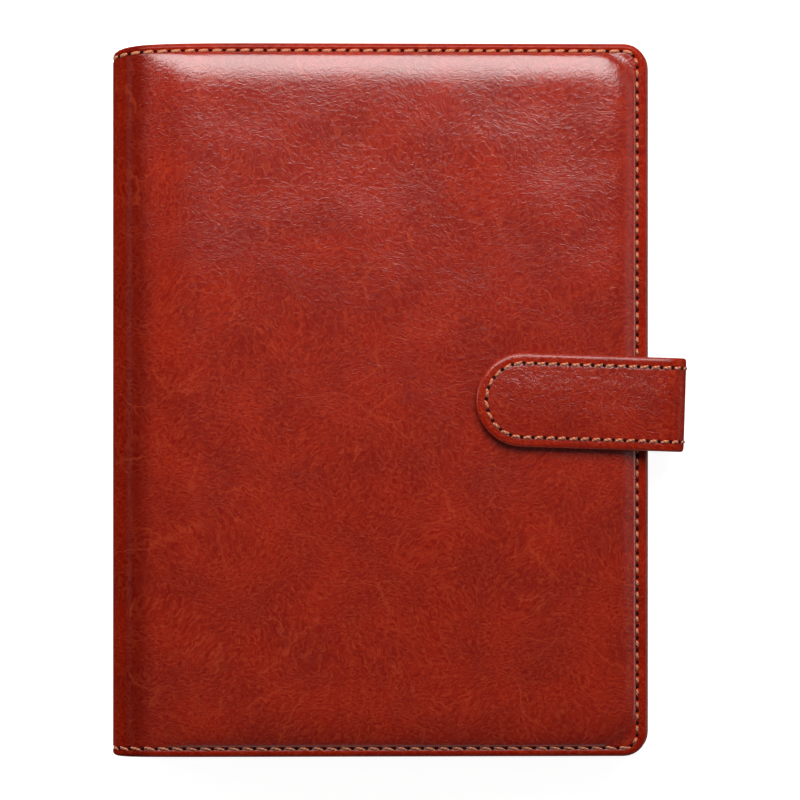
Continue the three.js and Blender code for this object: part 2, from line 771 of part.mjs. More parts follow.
// A round wire along a path in X and Z: one ring of points at each step, each
// square to the path there, closed at both ends. The first lies flat, as the tips
// of two half-rings meet face to face.
function loftRings(points, radius, sides, side, y) {
  const positions = [];
  const count = points.length;
  for (let i = 0; i < count; i += 1) {
    const before = i > 0 ? points[i - 1] : [points[0][0], points[0][1] - 1];
    const after = points[i > 0 ? Math.min(i + 1, count - 1) : 0];
    const length = Math.hypot(after[0] - before[0], after[1] - before[1]);
    const nx = (after[1] - before[1]) / length;
    const nz = -(after[0] - before[0]) / length;
    for (let k = 0; k < sides; k += 1) {
      const a = (k / sides) * Math.PI * 2;
      const out = radius * Math.cos(a);
      positions.push(
        points[i][0] + nx * out,
        y + radius * Math.sin(a),
        RING_CENTRE.y + side * (points[i][1] + nz * out),
      );
    }
  }
  const index = [];
  for (let i = 0; i + 1 < count; i += 1) {
    for (let k = 0; k < sides; k += 1) {
      const a = i * sides + k;
      const b = i * sides + ((k + 1) % sides);
      index.push(a, b, b + sides, a, b + sides, a + sides);
    }
  }
  for (let k = 1; k + 1 < sides; k += 1) {
    index.push(0, k + 1, k);
    const e = (count - 1) * sides;
    index.push(e, e + k, e + k + 1);
  }
  if (side < 0) {
    index.reverse();
  }
  const geometry = new THREE.BufferGeometry();
  geometry.setAttribute('position', new THREE.Float32BufferAttribute(positions, 3));
  geometry.setIndex(index);
  return geometry;
}

function halfRing(y, side) {
  const points = halfRingPath();
  const leg = points[points.length - 1][1];
  const wire = loftRings(points, RING_WIRE / 2, 8, side, y);
  const tenon = boreAlongX(
    RING_WIRE / 2 - 0.6, LEAF_BOTTOM, LEAF_TOP + RUNNING_GAP + 0.2, y,
    RING_CENTRE.y + side * leg, 8,
  );
  return join(wire, tenon);
}

function ringLeaf(side) {
  const half = LEAF_LENGTH / 2;
  const z = RING_CENTRE.y;
  const shape = new THREE.Shape();
  const centre = z + side * LEAF_PIVOT.y;
  const r = LEAF_STEEL / 2;
  const inner = z + side * RUNNING_GAP;
  shape.moveTo(LEAF_BOTTOM, inner);
  shape.lineTo(LEAF_TOP, inner);
  shape.lineTo(LEAF_TOP, centre);
  shape.absarc(LEAF_PIVOT.x, centre, r, 0, Math.PI, side < 0);
  shape.closePath();
  const sheet = sweepAlongY(shape, -half, half);
  const cuts = rivetPlaces().map((y) => boreAlongX(RIVET_SHAFT / 2 + 1, 0, CUT_PAST, y, z));
  for (const y of ringPlaces()) {
    cuts.push(boreAlongX(
      RING_WIRE / 2 - 0.6 + RUNNING_GAP, 0, CUT_PAST, y, z + side * legPlace(), 8,
    ));
  }
  return cut(sheet, ...cuts);
}

// The trigger: a foot under the leaves, a pin across the plate's cheeks and a
// thumb tab that leans out past the end.
function trigger(side) {
  const pinY = LEAF_LENGTH / 2 + 2.6;
  const pinX = LEAF_BOTTOM + 0.8;
  const footTop = LEAF_BOTTOM - RUNNING_GAP;
  const half = 1.2;
  const foot = slab(footTop - TRIGGER_STEEL, footTop, pinY - TRIGGER_FOOT, pinY + 0.6, -half, half);
  const post = slab(footTop - TRIGGER_STEEL, pinX, pinY - 0.6, pinY + 0.6, -half, half);
  const pinLength = PLATE_WIDTH - 2 * PLATE_STEEL - 4;
  const pin = new THREE.CylinderGeometry(TRIGGER_PIN / 2, TRIGGER_PIN / 2, pinLength, 10);
  pin.rotateX(Math.PI / 2);
  pin.translate(pinX, pinY, 0);
  const tabShape = new THREE.Shape();
  tabShape.moveTo(pinX - 0.5, pinY);
  tabShape.lineTo(pinX + 0.2, pinY - 0.7);
  tabShape.quadraticCurveTo(pinX + 4, pinY, pinX + 4.6, pinY + TRIGGER_REACH - 0.4);
  tabShape.lineTo(pinX + 3.4, pinY + TRIGGER_REACH);
  tabShape.quadraticCurveTo(pinX + 2.8, pinY + 1.8, pinX - 0.5, pinY + 0.8);
  tabShape.closePath();
  const tab = new THREE.ExtrudeGeometry(tabShape, {
    depth: TRIGGER_WIDTH, bevelEnabled: false, curveSegments: 6,
  });
  tab.translate(0, 0, -TRIGGER_WIDTH / 2);
  const lever = join(pin, post, foot, tab);
  if (side < 0) {
    lever.rotateX(Math.PI);
  }
  lever.translate(0, 0, RING_CENTRE.y);
  return lever;
}

function addRings() {
  addPiece(part, 'ring_cover_plate', ringCoverPlate(), 'steel');
  addPiece(part, 'rivet_top', rivet(RIVET_SPACING / 2), 'steel');
  addPiece(part, 'rivet_bottom', rivet(-RIVET_SPACING / 2), 'steel');
  for (const [label, side] of [['front', 1], ['back', -1]]) {
    addPiece(part, `leaf_${label}`, ringLeaf(side), 'steel');
    ringPlaces().forEach((y, i) => {
      addPiece(part, `half_ring_${label}_${i + 1}`, halfRing(y, side), 'steel');
    });
  }
  addPiece(part, 'trigger_top', trigger(1), 'steel');
  addPiece(part, 'trigger_bottom', trigger(-1), 'steel');
}

// The paper. Sheets hang on the rings, so each hole's channel is an arc about
// the ring's centre and the stack leans with it. X runs along the page and Z
// through the stack, about that centre.

const CHANNEL_RADIUS = RING_RADIUS - RING_WIRE / 2 + HOLE / 2 - 0.4;
const BACK_REST = BACK_CROWN + HEM + RUNNING_GAP + POCKET_SHEET;

function pageTilt() {
  const edge = holeReach(STACK / 2) - HOLE_INSET + PAGE_WIDTH;
  const drop = RING_CENTRE.y - STACK / 2 - BACK_REST - PAGE_REST_CLEARANCE;
  return Math.asin(drop / edge);
}

function holeReach(height) {
  return Math.sqrt(CHANNEL_RADIUS * CHANNEL_RADIUS - height * height);
}

// One layer of the stack between two heights, with its six holes.
function layer(z0, z1, tab) {
  const steps = Math.max(1, Math.round(Math.abs(z1 - z0) / 0.8));
  const shape = new THREE.Shape();
  for (let i = 0; i <= steps; i += 1) {
    const z = z0 + (z1 - z0) * (i / steps);
    const x = holeReach(z) - HOLE_INSET + PAGE_WIDTH;
    if (i === 0) {
      shape.moveTo(x, z);
    } else {
      shape.lineTo(x, z);
    }
  }
  for (let i = steps; i >= 0; i -= 1) {
    const z = z0 + (z1 - z0) * (i / steps);
    shape.lineTo(holeReach(z) - HOLE_INSET, z);
  }
  shape.closePath();
  const sheet = sweepAlongY(shape, -PAGE_HEIGHT / 2, PAGE_HEIGHT / 2);
  const middle = (z0 + z1) / 2;
  const lean = Math.asin(middle / CHANNEL_RADIUS);
  const holes = ringPlaces().map((y) => {
    const hole = new THREE.CylinderGeometry(HOLE / 2, HOLE / 2, z1 - z0 + 6, 10);
    hole.rotateX(Math.PI / 2);
    hole.rotateZ(Math.PI / 2);
    hole.scale(1 + (z1 - z0) * HOLE_LEAN, 1, 1);
    hole.translate(CHANNEL_RADIUS, y, 0);
    hole.rotateY(-lean);
    return hole;
  });
  if (!tab) {
    return cut(sheet, ...holes);
  }
  const edge = holeReach(middle) - HOLE_INSET + PAGE_WIDTH;
  const corner = 3;
  const tabShape = roundedEdgeShape(edge - 4, edge + TAB_REACH, TAB_LENGTH / 2, corner);
  const tabSheet = plate(tabShape, z0, z1);
  tabSheet.translate(0, tab, 0);
  return cut(join(sheet, tabSheet), ...holes);
}

function addPages() {
  const block = (STACK / 2 - SHEET_GAP - 0.35 - 2 * CARD - 4 * SHEET_GAP) / 2;
  const upper = [
    ['paper_block_2', block, 'paper'],
    ['divider_2', CARD, 'card', 22],
    ['paper_block_1', block, 'paper'],
    ['divider_1', CARD, 'card', 66],
    ['flyleaf', 0.35, 'film'],
  ];
  const lower = [
    ['divider_3', CARD, 'card', -22],
    ['paper_block_3', block, 'paper'],
    ['divider_4', CARD, 'card', -66],
    ['paper_block_4', block, 'paper'],
    ['back_sheet', 0.35, 'card'],
  ];
  const holder = new THREE.Group();
  holder.position.set(RING_CENTRE.x, 0, RING_CENTRE.y);
  holder.rotation.y = pageTilt();
  part.add(holder);
  for (const [side, layers] of [[1, upper], [-1, lower]]) {
    let z = SHEET_GAP;
    for (const [name, thickness, finish, tab] of layers) {
      const low = side > 0 ? z : -z - thickness;
      addPiece(holder, name, layer(low, low + thickness, tab), finish);
      z += thickness + SHEET_GAP;
    }
  }
}

addBackCover();
addSpine();
addFrontCover();
addRings();
addPages();
addStrap();

// The origin is under the middle of the closed book and its strap.
const bounds = new THREE.Box3().setFromObject(part, true);
const middle = bounds.getCenter(new THREE.Vector3());
const group = new THREE.Group();
part.position.set(-middle.x, -middle.y, -bounds.min.z);
group.add(part);

export default group;
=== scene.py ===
# %% [markdown]
# A ring-bound notebook in padded red-brown leather
#
# The packed model gives the frame: named pieces, the bodies they ride on and the joints
# between them. This lesson dresses that frame. Hard pieces that already have the right
# shape keep it and get a finish. Soft pieces, such as the padded covers, the strap, the
# lining and the stitching, are made again as finer meshes in the same place.

# %% The frame
import math

import bmesh
import bpy
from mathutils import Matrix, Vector, noise
from mathutils.geometry import tessellate_polygon


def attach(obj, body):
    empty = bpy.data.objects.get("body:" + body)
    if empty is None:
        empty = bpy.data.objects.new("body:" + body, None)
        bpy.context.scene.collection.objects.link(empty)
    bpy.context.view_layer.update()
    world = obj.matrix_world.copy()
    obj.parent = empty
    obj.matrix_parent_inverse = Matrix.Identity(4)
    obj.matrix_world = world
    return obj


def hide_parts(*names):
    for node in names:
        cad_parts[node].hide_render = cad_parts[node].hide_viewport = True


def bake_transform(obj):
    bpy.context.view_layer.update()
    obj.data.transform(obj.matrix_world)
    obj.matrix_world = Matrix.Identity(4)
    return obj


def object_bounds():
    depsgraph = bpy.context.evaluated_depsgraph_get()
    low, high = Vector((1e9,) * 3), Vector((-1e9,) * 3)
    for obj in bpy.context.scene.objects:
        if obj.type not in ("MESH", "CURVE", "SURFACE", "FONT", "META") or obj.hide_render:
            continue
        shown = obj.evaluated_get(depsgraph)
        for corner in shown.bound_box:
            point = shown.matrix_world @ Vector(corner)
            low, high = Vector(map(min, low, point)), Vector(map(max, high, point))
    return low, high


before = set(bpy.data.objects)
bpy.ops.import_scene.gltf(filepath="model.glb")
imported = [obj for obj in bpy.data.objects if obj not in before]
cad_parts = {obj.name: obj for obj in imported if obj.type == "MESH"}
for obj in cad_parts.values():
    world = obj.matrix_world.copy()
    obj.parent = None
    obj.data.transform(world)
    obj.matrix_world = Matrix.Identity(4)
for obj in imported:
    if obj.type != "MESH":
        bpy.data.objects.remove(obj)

MM = 0.001
CAD_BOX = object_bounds()
SPINE_FACE = CAD_BOX[0][0]
print("box of the model in mm:", [[round(v / MM, 1) for v in corner] for corner in CAD_BOX])

# %% [markdown]
# Where things are
#
# Every length below is in millimetres, measured as a bookbinder would: across from the
# spine's outer face, along the book from its middle, and up from the table. One helper
# turns such a place into a point in the frame.


# %% A place on the book
def place(across, along, up):
    return Vector((SPINE_FACE + across * MM, along * MM, up * MM))


COVER_WIDTH = 173.0
COVER_HALF = 115.0
COVER_TILT = math.radians(5.5)
CORNER = 7.5
HEM = 4.0
ROLL = 10.0
HINGE_FRONT = (2.0, 40.0)
RING_CENTRE = (17.0, 22.0)
print("spine face at", round(SPINE_FACE, 5), "m")

# %% [markdown]
# Two small helpers
#
# Outlines, stitch lines and wires all need evenly spaced values and points on an arc, so
# each is written once here.


# %% Even steps and arcs
def spread(first, last, count):
    """Evenly spaced values from first to last, both included."""
    return [first + (last - first) * i / count for i in range(count + 1)]


def arc(centre, radii, start, stop, count):
    """Points on an arc, both ends included, with two radii for a flattened one."""
    return [(centre[0] + radii[0] * math.cos(a), centre[1] + radii[1] * math.sin(a))
            for a in spread(start, stop, count)]


print("a quarter circle in two steps:", arc((0.0, 0.0), (1.0, 1.0), 0.0, math.pi / 2, 2))

# %% [markdown]
# Camera, light and floor
#
# The photograph looks straight down at the closed book with a long lens, so the camera
# hangs above the middle of the book with a very long focal length, and the sides hardly
# show. One large soft key light stands beyond the top edge. The padding rolls over towards
# it there, which gives the pale band under the top stitching. Three weak fills, left, right
# and in front, keep the roll at the lower edge and the sides from going black.

# %% The camera
FRAME_WIDTH = 257.7 * MM
COVER_TOP = 36.0 * MM
camera_data = bpy.data.cameras.new("long_lens")
camera_data.lens = 600.0
camera_data.sensor_width = 36.0
camera_data.clip_end = 50.0
camera = bpy.data.objects.new("long_lens", camera_data)
bpy.context.collection.objects.link(camera)
camera_distance = FRAME_WIDTH * camera_data.lens / camera_data.sensor_width
camera.location = (0.0, 0.0, COVER_TOP + camera_distance)
bpy.context.scene.camera = camera
print("camera", round(camera_distance, 3), "m above the cover")


# %% The lights
def soft_light(name, position, aim, size, radiance):
    data = bpy.data.lights.new(name, "AREA")
    data.shape = "RECTANGLE"
    data.size, data.size_y = size
    data.energy = radiance * math.pi * size[0] * size[1]
    lamp = bpy.data.objects.new(name, data)
    lamp.location = position
    lamp.rotation_euler = (Vector(aim) - Vector(position)).to_track_quat("-Z", "Y").to_euler()
    bpy.context.collection.objects.link(lamp)


soft_light("key_beyond_top", (0.075, 0.47, 0.60), (0.03, 0.03, 0.0), (0.64, 0.54), 6.9)
soft_light("fill_left", (-1.0, 0.2, 0.45), (0.0, 0.0, 0.0), (0.6, 0.6), 2.1)
soft_light("fill_right", (1.0, 0.25, 0.75), (0.0, 0.0, 0.0), (0.6, 0.6), 0.45)
soft_light("fill_front", (-0.35, -1.05, 0.5), (0.0, 0.0, 0.0), (1.0, 0.4), 0.2)

# %% [markdown]
# Nodes by name
#
# The room, the floor and every finish are node trees. Adding a node and linking it takes
# several lines each time, so one small class does it: inputs are given by name, and each
# is either a plain value or the output of another node.


# %% A helper for node trees
class Nodes:
    """Adds nodes to one tree and links them, with inputs given by name."""

    def __init__(self, tree):
        self.tree = tree

    def feed(self, node, inputs):
        for key, value in inputs.items():
            if isinstance(value, bpy.types.NodeSocket):
                self.tree.links.new(value, node.inputs[key])
            else:
                node.inputs[key].default_value = value
        return node

    def add(self, kind, inputs=None, **settings):
        node = self.tree.nodes.new(kind)
        for key, value in settings.items():
            setattr(node, key, value)
        return self.feed(node, inputs or {})

    def group(self, tree, inputs):
        return self.add("ShaderNodeGroup", inputs, node_tree=tree).outputs

    def math(self, operation, a, b=0.0, c=0.0, clamp=False):
        return self.add("ShaderNodeMath", {0: a, 1: b, 2: c}, operation=operation,
                        use_clamp=clamp).outputs[0]

    def fade(self, value, low, high, to_low=0.0, to_high=1.0):
        """Moves smoothly from to_low to to_high while the value goes from low to high."""
        return self.add("ShaderNodeMapRange", {"Value": value, "From Min": low, "From Max": high,
                                               "To Min": to_low, "To Max": to_high},
                        interpolation_type="SMOOTHSTEP").outputs["Result"]

    def mix(self, share, a, b):
        return self.add("ShaderNodeMix", {0: share, 6: a, 7: b}, data_type="RGBA").outputs[2]

    def scaled(self, vector, scale):
        return self.add("ShaderNodeVectorMath", {0: vector, 1: scale},
                        operation="MULTIPLY").outputs[0]

    def shifted(self, vector, offset):
        return self.add("ShaderNodeVectorMath", {0: vector, 1: offset},
                        operation="ADD").outputs[0]

    def part(self, vector, axis):
        return self.add("ShaderNodeSeparateXYZ", {0: vector}).outputs[axis]

    def noise(self, where, scale, detail=2.0, roughness=0.5, flat=False):
        return self.add("ShaderNodeTexNoise", {"Vector": where, "Scale": scale, "Detail": detail,
                                               "Roughness": roughness},
                        noise_dimensions="2D" if flat else "3D").outputs

    def bump(self, height, strength, distance):
        return self.add("ShaderNodeBump", {"Height": height, "Strength": strength,
                                           "Distance": distance}).outputs[0]


def empty_tree(owner):
    owner.use_nodes = True
    owner.node_tree.nodes.clear()
    return Nodes(owner.node_tree)


print("node helper with", len([name for name in vars(Nodes) if name[0] != "_"]), "kinds of step")

# %% [markdown]
# The room is a white sweep with a dim ceiling. Near the horizon it is white, which is what
# the camera sees behind the book from the side and what runs as a bright line along metal.
# Overhead it is dim, so the leather keeps its deep red where no lamp is mirrored in it.

# %% The room
world = bpy.data.worlds.new("white_sweep")
bpy.context.scene.world = world
n = empty_tree(world)
ramp = n.add("ShaderNodeValToRGB", {
    "Fac": n.part(n.add("ShaderNodeTexCoord").outputs["Generated"], "Z")})
ramp.color_ramp.interpolation = "EASE"
for stop, height, colour in zip(ramp.color_ramp.elements, (0.03, 0.36),
                                ((0.85, 0.85, 0.85, 1.0), (0.06, 0.06, 0.063, 1.0))):
    stop.position, stop.color = height, colour
room_light = n.add("ShaderNodeBackground", {"Color": ramp.outputs["Color"]})
n.add("ShaderNodeOutputWorld", {"Surface": room_light.outputs[0]})
print("room:", world.name, "with", len(world.node_tree.nodes), "nodes")

# %% [markdown]
# The floor is matt, so it takes the book's soft shadow. To the camera, and to gloss and
# glass, it also glows almost white, which gives the plain background without one lamp more
# on the book.


# %% The floor
def grid_mesh(name, points, faces, smooth=True):
    mesh = bpy.data.meshes.new(name)
    mesh.from_pydata([tuple(p) for p in points], [], faces)
    mesh.polygons.foreach_set("use_smooth", [smooth] * len(mesh.polygons))
    mesh.update()
    piece = bpy.data.objects.new(name, mesh)
    bpy.context.collection.objects.link(piece)
    return piece


FLOOR_UP, FLOOR_GLOW = -0.0004, 0.93
floor = grid_mesh("floor", [(x, y, FLOOR_UP) for x, y in ((-6, -6), (6, -6), (6, 6), (-6, 6))],
                  [(0, 1, 2, 3)], smooth=False)
floor_paint = bpy.data.materials.new("white_floor")
n = empty_tree(floor_paint)
matt = n.add("ShaderNodeBsdfDiffuse", {"Color": (0.5, 0.5, 0.5, 1)})
ray = n.add("ShaderNodeLightPath").outputs
seen = n.math("ADD", n.math("ADD", ray["Is Camera Ray"], ray["Is Glossy Ray"]),
              ray["Is Transmission Ray"])
glow = n.add("ShaderNodeEmission", {"Strength": n.math("MULTIPLY", seen, FLOOR_GLOW)})
both = n.add("ShaderNodeAddShader", {0: matt.outputs[0], 1: glow.outputs[0]})
n.add("ShaderNodeOutputMaterial", {"Surface": both.outputs[0]})
floor.data.materials.append(floor_paint)
bpy.context.scene.view_settings.view_transform = "Standard"
print("floor of", round(floor.dimensions.x, 1), "m")

# %% [markdown]
# Finishes
#
# The leather is a waxed, glossy hide with a fine net of wrinkles. Where the wax is pulled
# thin over a wrinkle it turns lighter. The same effect is used with different values on
# the covers, the strap and the lining, so it is a node group: it takes a place on the hide
# in millimetres and gives back heights and masks, and each material decides what to do
# with them.


# %% Helpers for groups and colours
def shader_group(name, inputs, outputs):
    tree = bpy.data.node_groups.new(name, "ShaderNodeTree")
    for label, kind, value in inputs:
        socket = tree.interface.new_socket(label, in_out="INPUT", socket_type=kind)
        if value is not None:
            socket.default_value = value
    for label in outputs:
        tree.interface.new_socket(label, in_out="OUTPUT", socket_type=FLOAT)
    n = Nodes(tree)
    return tree, n, n.add("NodeGroupInput").outputs, n.add("NodeGroupOutput")


def srgb(red, green, blue):
    """A colour as it would be written for a screen, 0 to 255, as the shader needs it."""
    def linear(v):
        v /= 255.0
        return v / 12.92 if v <= 0.04045 else ((v + 0.055) / 1.055) ** 2.4
    return (linear(red), linear(green), linear(blue), 1.0)


FLOAT, VECTOR = "NodeSocketFloat", "NodeSocketVector"
print("mid grey for the shader:", round(srgb(128, 128, 128)[0], 3))

# %% [markdown]
# The hide's own surface
#
# Polished hide has three scales of relief. A net of fine folds runs across it, in cells
# about three millimetres wide and half as long. A few long folds cross the net. Between
# them lies a pebble grain with pores. The folds come and go in patches, so each is a cell
# pattern whose borders are thinned to lines and broken up by a mask. A slow warp lets
# their direction drift as it does on real skin.


# %% Drift, grain and cell borders
def drifting(n, where):
    """Lets a place on the hide wander, slowly over centimetres and finely over millimetres."""
    warped = where
    for scale, reach in ((0.03, (16.0, 22.0, 0.0)), (0.4, (2.6, 2.6, 0.0))):
        drift = n.shifted(n.noise(where, scale, 1.0, flat=True)["Color"], (-0.5, -0.5, 0.0))
        warped = n.shifted(warped, n.scaled(drift, reach))
    return warped


def pebble_grain(n, warped):
    return n.noise(n.scaled(warped, (0.72, 1.25, 1.0)), 1.0, 3.0, 0.62, flat=True)["Fac"]


def cell_borders(n, where, across, along, width, height=1.0):
    cells = n.add("ShaderNodeTexVoronoi", {"Vector": n.scaled(where, (across, along, 1.0)),
                                           "Scale": 1.0}, voronoi_dimensions="2D",
                  feature="DISTANCE_TO_EDGE").outputs["Distance"]
    return n.fade(cells, 0.0, width, height, 0.0)


# %% Leather surface group
hide, n, source, sink = shader_group("hide_surface", [
    ("Where mm", VECTOR, None), ("Fold Size", FLOAT, 1.0), ("Seed", FLOAT, 0.0)],
    ["Height", "Fold", "Pit", "Mottle", "Grain"])
seeded = n.add("ShaderNodeCombineXYZ", {0: source["Seed"], 1: source["Seed"], 2: 0.0}).outputs[0]
where = n.shifted(source["Where mm"], seeded)
warped = drifting(n, where)
sized = n.add("ShaderNodeVectorMath", {0: warped, "Scale": source["Fold Size"]},
              operation="SCALE").outputs[0]
short_mask = n.fade(n.noise(n.shifted(where, (61.0, 17.0, 0.0)), 0.16, 3.0, flat=True)["Fac"],
                    0.36, 0.62, 0.30, 1.0)
long_mask = n.fade(n.noise(n.shifted(where, (23.0, 71.0, 0.0)), 0.06, flat=True)["Fac"],
                   0.48, 0.60)
short_folds = n.math("MULTIPLY", cell_borders(n, sized, 0.34, 0.74, 0.34), short_mask)
cross_folds = n.math("MULTIPLY",
                     cell_borders(n, n.shifted(sized, (9.0, 5.0, 0.0)), 0.40, 0.52, 0.30),
                     n.math("SUBTRACT", 1.1, short_mask, clamp=True))
long_folds = n.math("MULTIPLY", cell_borders(n, sized, 0.05, 0.11, 0.05), long_mask)
fold = n.math("MAXIMUM", n.math("MAXIMUM", n.math("MULTIPLY", short_folds, 0.55),
                                n.math("MULTIPLY", cross_folds, 0.3)), long_folds)
grain = pebble_grain(n, warped)
pores = n.add("ShaderNodeTexVoronoi", {"Vector": where, "Scale": 1.5, "Randomness": 1.0},
              voronoi_dimensions="2D", feature="F1").outputs["Distance"]
pit = n.fade(pores, 0.05, 0.40, 1.0, 0.0)
mottle = n.noise(n.shifted(where, (37.0, 11.0, 0.0)), 0.055, 3.0, flat=True)["Fac"]
relief = n.math("MULTIPLY_ADD", grain, 1.7, n.math("MULTIPLY", fold, 0.55))
height = n.math("SUBTRACT", relief, n.math("MULTIPLY", pit, 0.10))
n.feed(sink, {"Height": height, "Fold": fold, "Pit": pit, "Mottle": mottle, "Grain": grain})
print("hide_surface group:", len(hide.nodes), "nodes")

# %% [markdown]
# A long crease is where the hide was once folded. Each is a thin, slightly bent line with
# soft ends, so a second group draws one from its middle, its direction and its length, and
# a material places as many as it needs.

# %% Crease group
crease, n, source, sink = shader_group("long_crease", [
    ("Where mm", VECTOR, None), ("Middle", VECTOR, (0, 0, 0)), ("Angle", FLOAT, 0.0),
    ("Length", FLOAT, 20.0), ("Bow", FLOAT, 1.0), ("Width", FLOAT, 0.3)], ["Crease"])
offset = n.add("ShaderNodeVectorMath", {0: source["Where mm"], 1: source["Middle"]},
               operation="SUBTRACT").outputs[0]
turned = n.add("ShaderNodeVectorRotate", {"Vector": offset, "Angle": source["Angle"]},
               rotation_type="Z_AXIS", invert=True).outputs[0]
share = n.math("DIVIDE", n.part(turned, "X"), n.math("MULTIPLY", source["Length"], 0.5))
bowed = n.math("MULTIPLY", n.math("SUBTRACT", 1.0, n.math("MULTIPLY", share, share)), source["Bow"])
shake = n.noise(source["Where mm"], 0.4, flat=True)["Fac"]
line = n.math("ABSOLUTE", n.math("SUBTRACT", n.math("SUBTRACT", n.part(turned, "Y"), bowed),
                                 n.math("MULTIPLY_ADD", shake, 1.2, -0.6)))
thin = n.math("SUBTRACT", 1.0, n.math("DIVIDE", line, source["Width"]), clamp=True)
ends = n.fade(n.math("ABSOLUTE", share), 0.55, 1.0, 1.0, 0.0)
n.feed(sink, {"Crease": n.math("MULTIPLY", thin, ends)})
print("long_crease group:", len(crease.nodes), "nodes")

# %% [markdown]
# Worn edges are the same idea on the covers, the strap, the lining and the pockets: close
# to an edge the finish is rubbed. The meshes made below carry how far each point lies from
# the edge, and the group turns that distance into a mask that is broken up by noise.

# %% Edge wear group
wear, n, source, sink = shader_group("edge_wear", [
    ("Where mm", VECTOR, None), ("Distance mm", FLOAT, 1.0), ("Reach mm", FLOAT, 0.6),
    ("Break Up", FLOAT, 0.5)], ["Worn"])
near = n.math("SUBTRACT", 1.0, n.math("DIVIDE", source["Distance mm"], source["Reach mm"]),
              clamp=True)
rub = n.noise(source["Where mm"], 0.7, 3.0)["Fac"]
broken = n.math("SUBTRACT", near, n.math("MULTIPLY", rub, source["Break Up"]), clamp=True)
n.feed(sink, {"Worn": broken})
print("edge_wear group:", len(wear.nodes), "nodes")

# %% [markdown]
# Every finish starts the same way, from one Principled shader and a place to draw on. Soft
# sheets draw on their own flat coordinates, so that the grain bends with them at a hinge.
# Small solid pieces draw in space.


# %% A material to start from
def new_finish(name):
    material = bpy.data.materials.new(name)
    n = empty_tree(material)
    body = n.add("ShaderNodeBsdfPrincipled")
    n.add("ShaderNodeOutputMaterial", {"Surface": body.outputs[0]})
    return material, n, body


def on_sheet(n):
    """A place on a sheet, in millimetres: the sheet's own flat coordinates."""
    flat = n.add("ShaderNodeUVMap", uv_map="flat_mm").outputs[0]
    return n.scaled(flat, (1000.0, 1000.0, 0.0))


def in_space(n):
    """A place in the frame, in millimetres."""
    return n.scaled(n.add("ShaderNodeTexCoord").outputs["Object"], (1000.0, 1000.0, 1000.0))


def from_edge(n):
    return n.add("ShaderNodeAttribute", attribute_name="from_edge").outputs["Fac"]


def worn_edge(n, where, reach):
    return n.group(wear, {"Where mm": where, "Distance mm": from_edge(n), "Reach mm": reach,
                          "Break Up": 0.8})["Worn"]

# %% [markdown]
# Cover leather
#
# The colour runs from a deep oxblood in the low places to a warm orange red on the open
# hide, and to a paler orange where a fold lifts the wax. Along the roll beside the spine a
# band is darkened as painted shade, where the roll turns away from the light.


# %% The colour of the leather
OXBLOOD, WARM_RED, LIFTED = srgb(112, 9, 4), srgb(150, 24, 1), srgb(204, 82, 44)
# Painted shade: a dark red for the band along the spine roll, which turns away from the light.
ROLL_SHADE_RED = (OXBLOOD[0] * 0.62, OXBLOOD[1] * 0.5, OXBLOOD[2] * 0.5, 1.0)


def leather_colour(n, where, surface, spine_shade_line, crease_lines):
    colour = n.mix(n.fade(surface["Mottle"], 0.2, 0.8, 0.4, 1.0), OXBLOOD, WARM_RED)
    colour = n.mix(n.fade(surface["Grain"], 0.34, 0.52, 0.48, 0.0), colour, OXBLOOD)
    colour = n.mix(n.fade(surface["Grain"], 0.50, 0.68, 0.0, 0.17), colour, LIFTED)
    # Painted shade down the spine roll: the colour darkens towards the given line across the sheet.
    if spine_shade_line is not None:
        beside = n.math("ABSOLUTE", n.math("SUBTRACT", n.part(where, "X"), spine_shade_line))
        colour = n.mix(n.fade(beside, 1.0, 8.0, 0.72, 0.0), colour, ROLL_SHADE_RED)
    colour = n.mix(n.math("MULTIPLY", surface["Fold"], 0.22), colour, LIFTED)
    colour = n.mix(n.math("MULTIPLY", surface["Pit"], 0.22), colour, OXBLOOD)
    for line in crease_lines:
        colour = n.mix(n.math("MULTIPLY", line, 0.22), colour, LIFTED)
    return n.mix(n.math("MULTIPLY", worn_edge(n, where, 0.7), 0.2), colour, LIFTED)


# %% [markdown]
# All the gloss is in the coat, the clear wax over the hide, and the hide under it is matt.
# The wax has a softer relief than the hide, drawn here from plain noise in step with the
# hide's grain. It is thin on the turned edges and next to the spine, where hands and the
# bending wear it off.


# %% The wax coat
def wax_coat(n, body, where, size, seed, bump, edge_wax, waxed_from):
    warped = drifting(n, n.shifted(where, (seed, seed, 0.0)))
    net = cell_borders(n, warped, 0.34 * size, 0.74 * size, 0.34, height=0.2)
    relief = n.math("MULTIPLY_ADD", pebble_grain(n, warped), 1.7, net)
    across = n.math("ABSOLUTE", n.part(where, "X"))
    n.feed(body, {
        "Coat Weight": n.math("MULTIPLY", n.fade(from_edge(n), 1.6, 4.6, edge_wax, 1.0),
                              n.fade(across, waxed_from - 4.0, waxed_from + 8.0, 0.01, 1.0)),
        "Coat IOR": 1.7, "Coat Roughness": 0.19, "Coat Normal": n.bump(relief, bump * 0.4, 0.0002)})


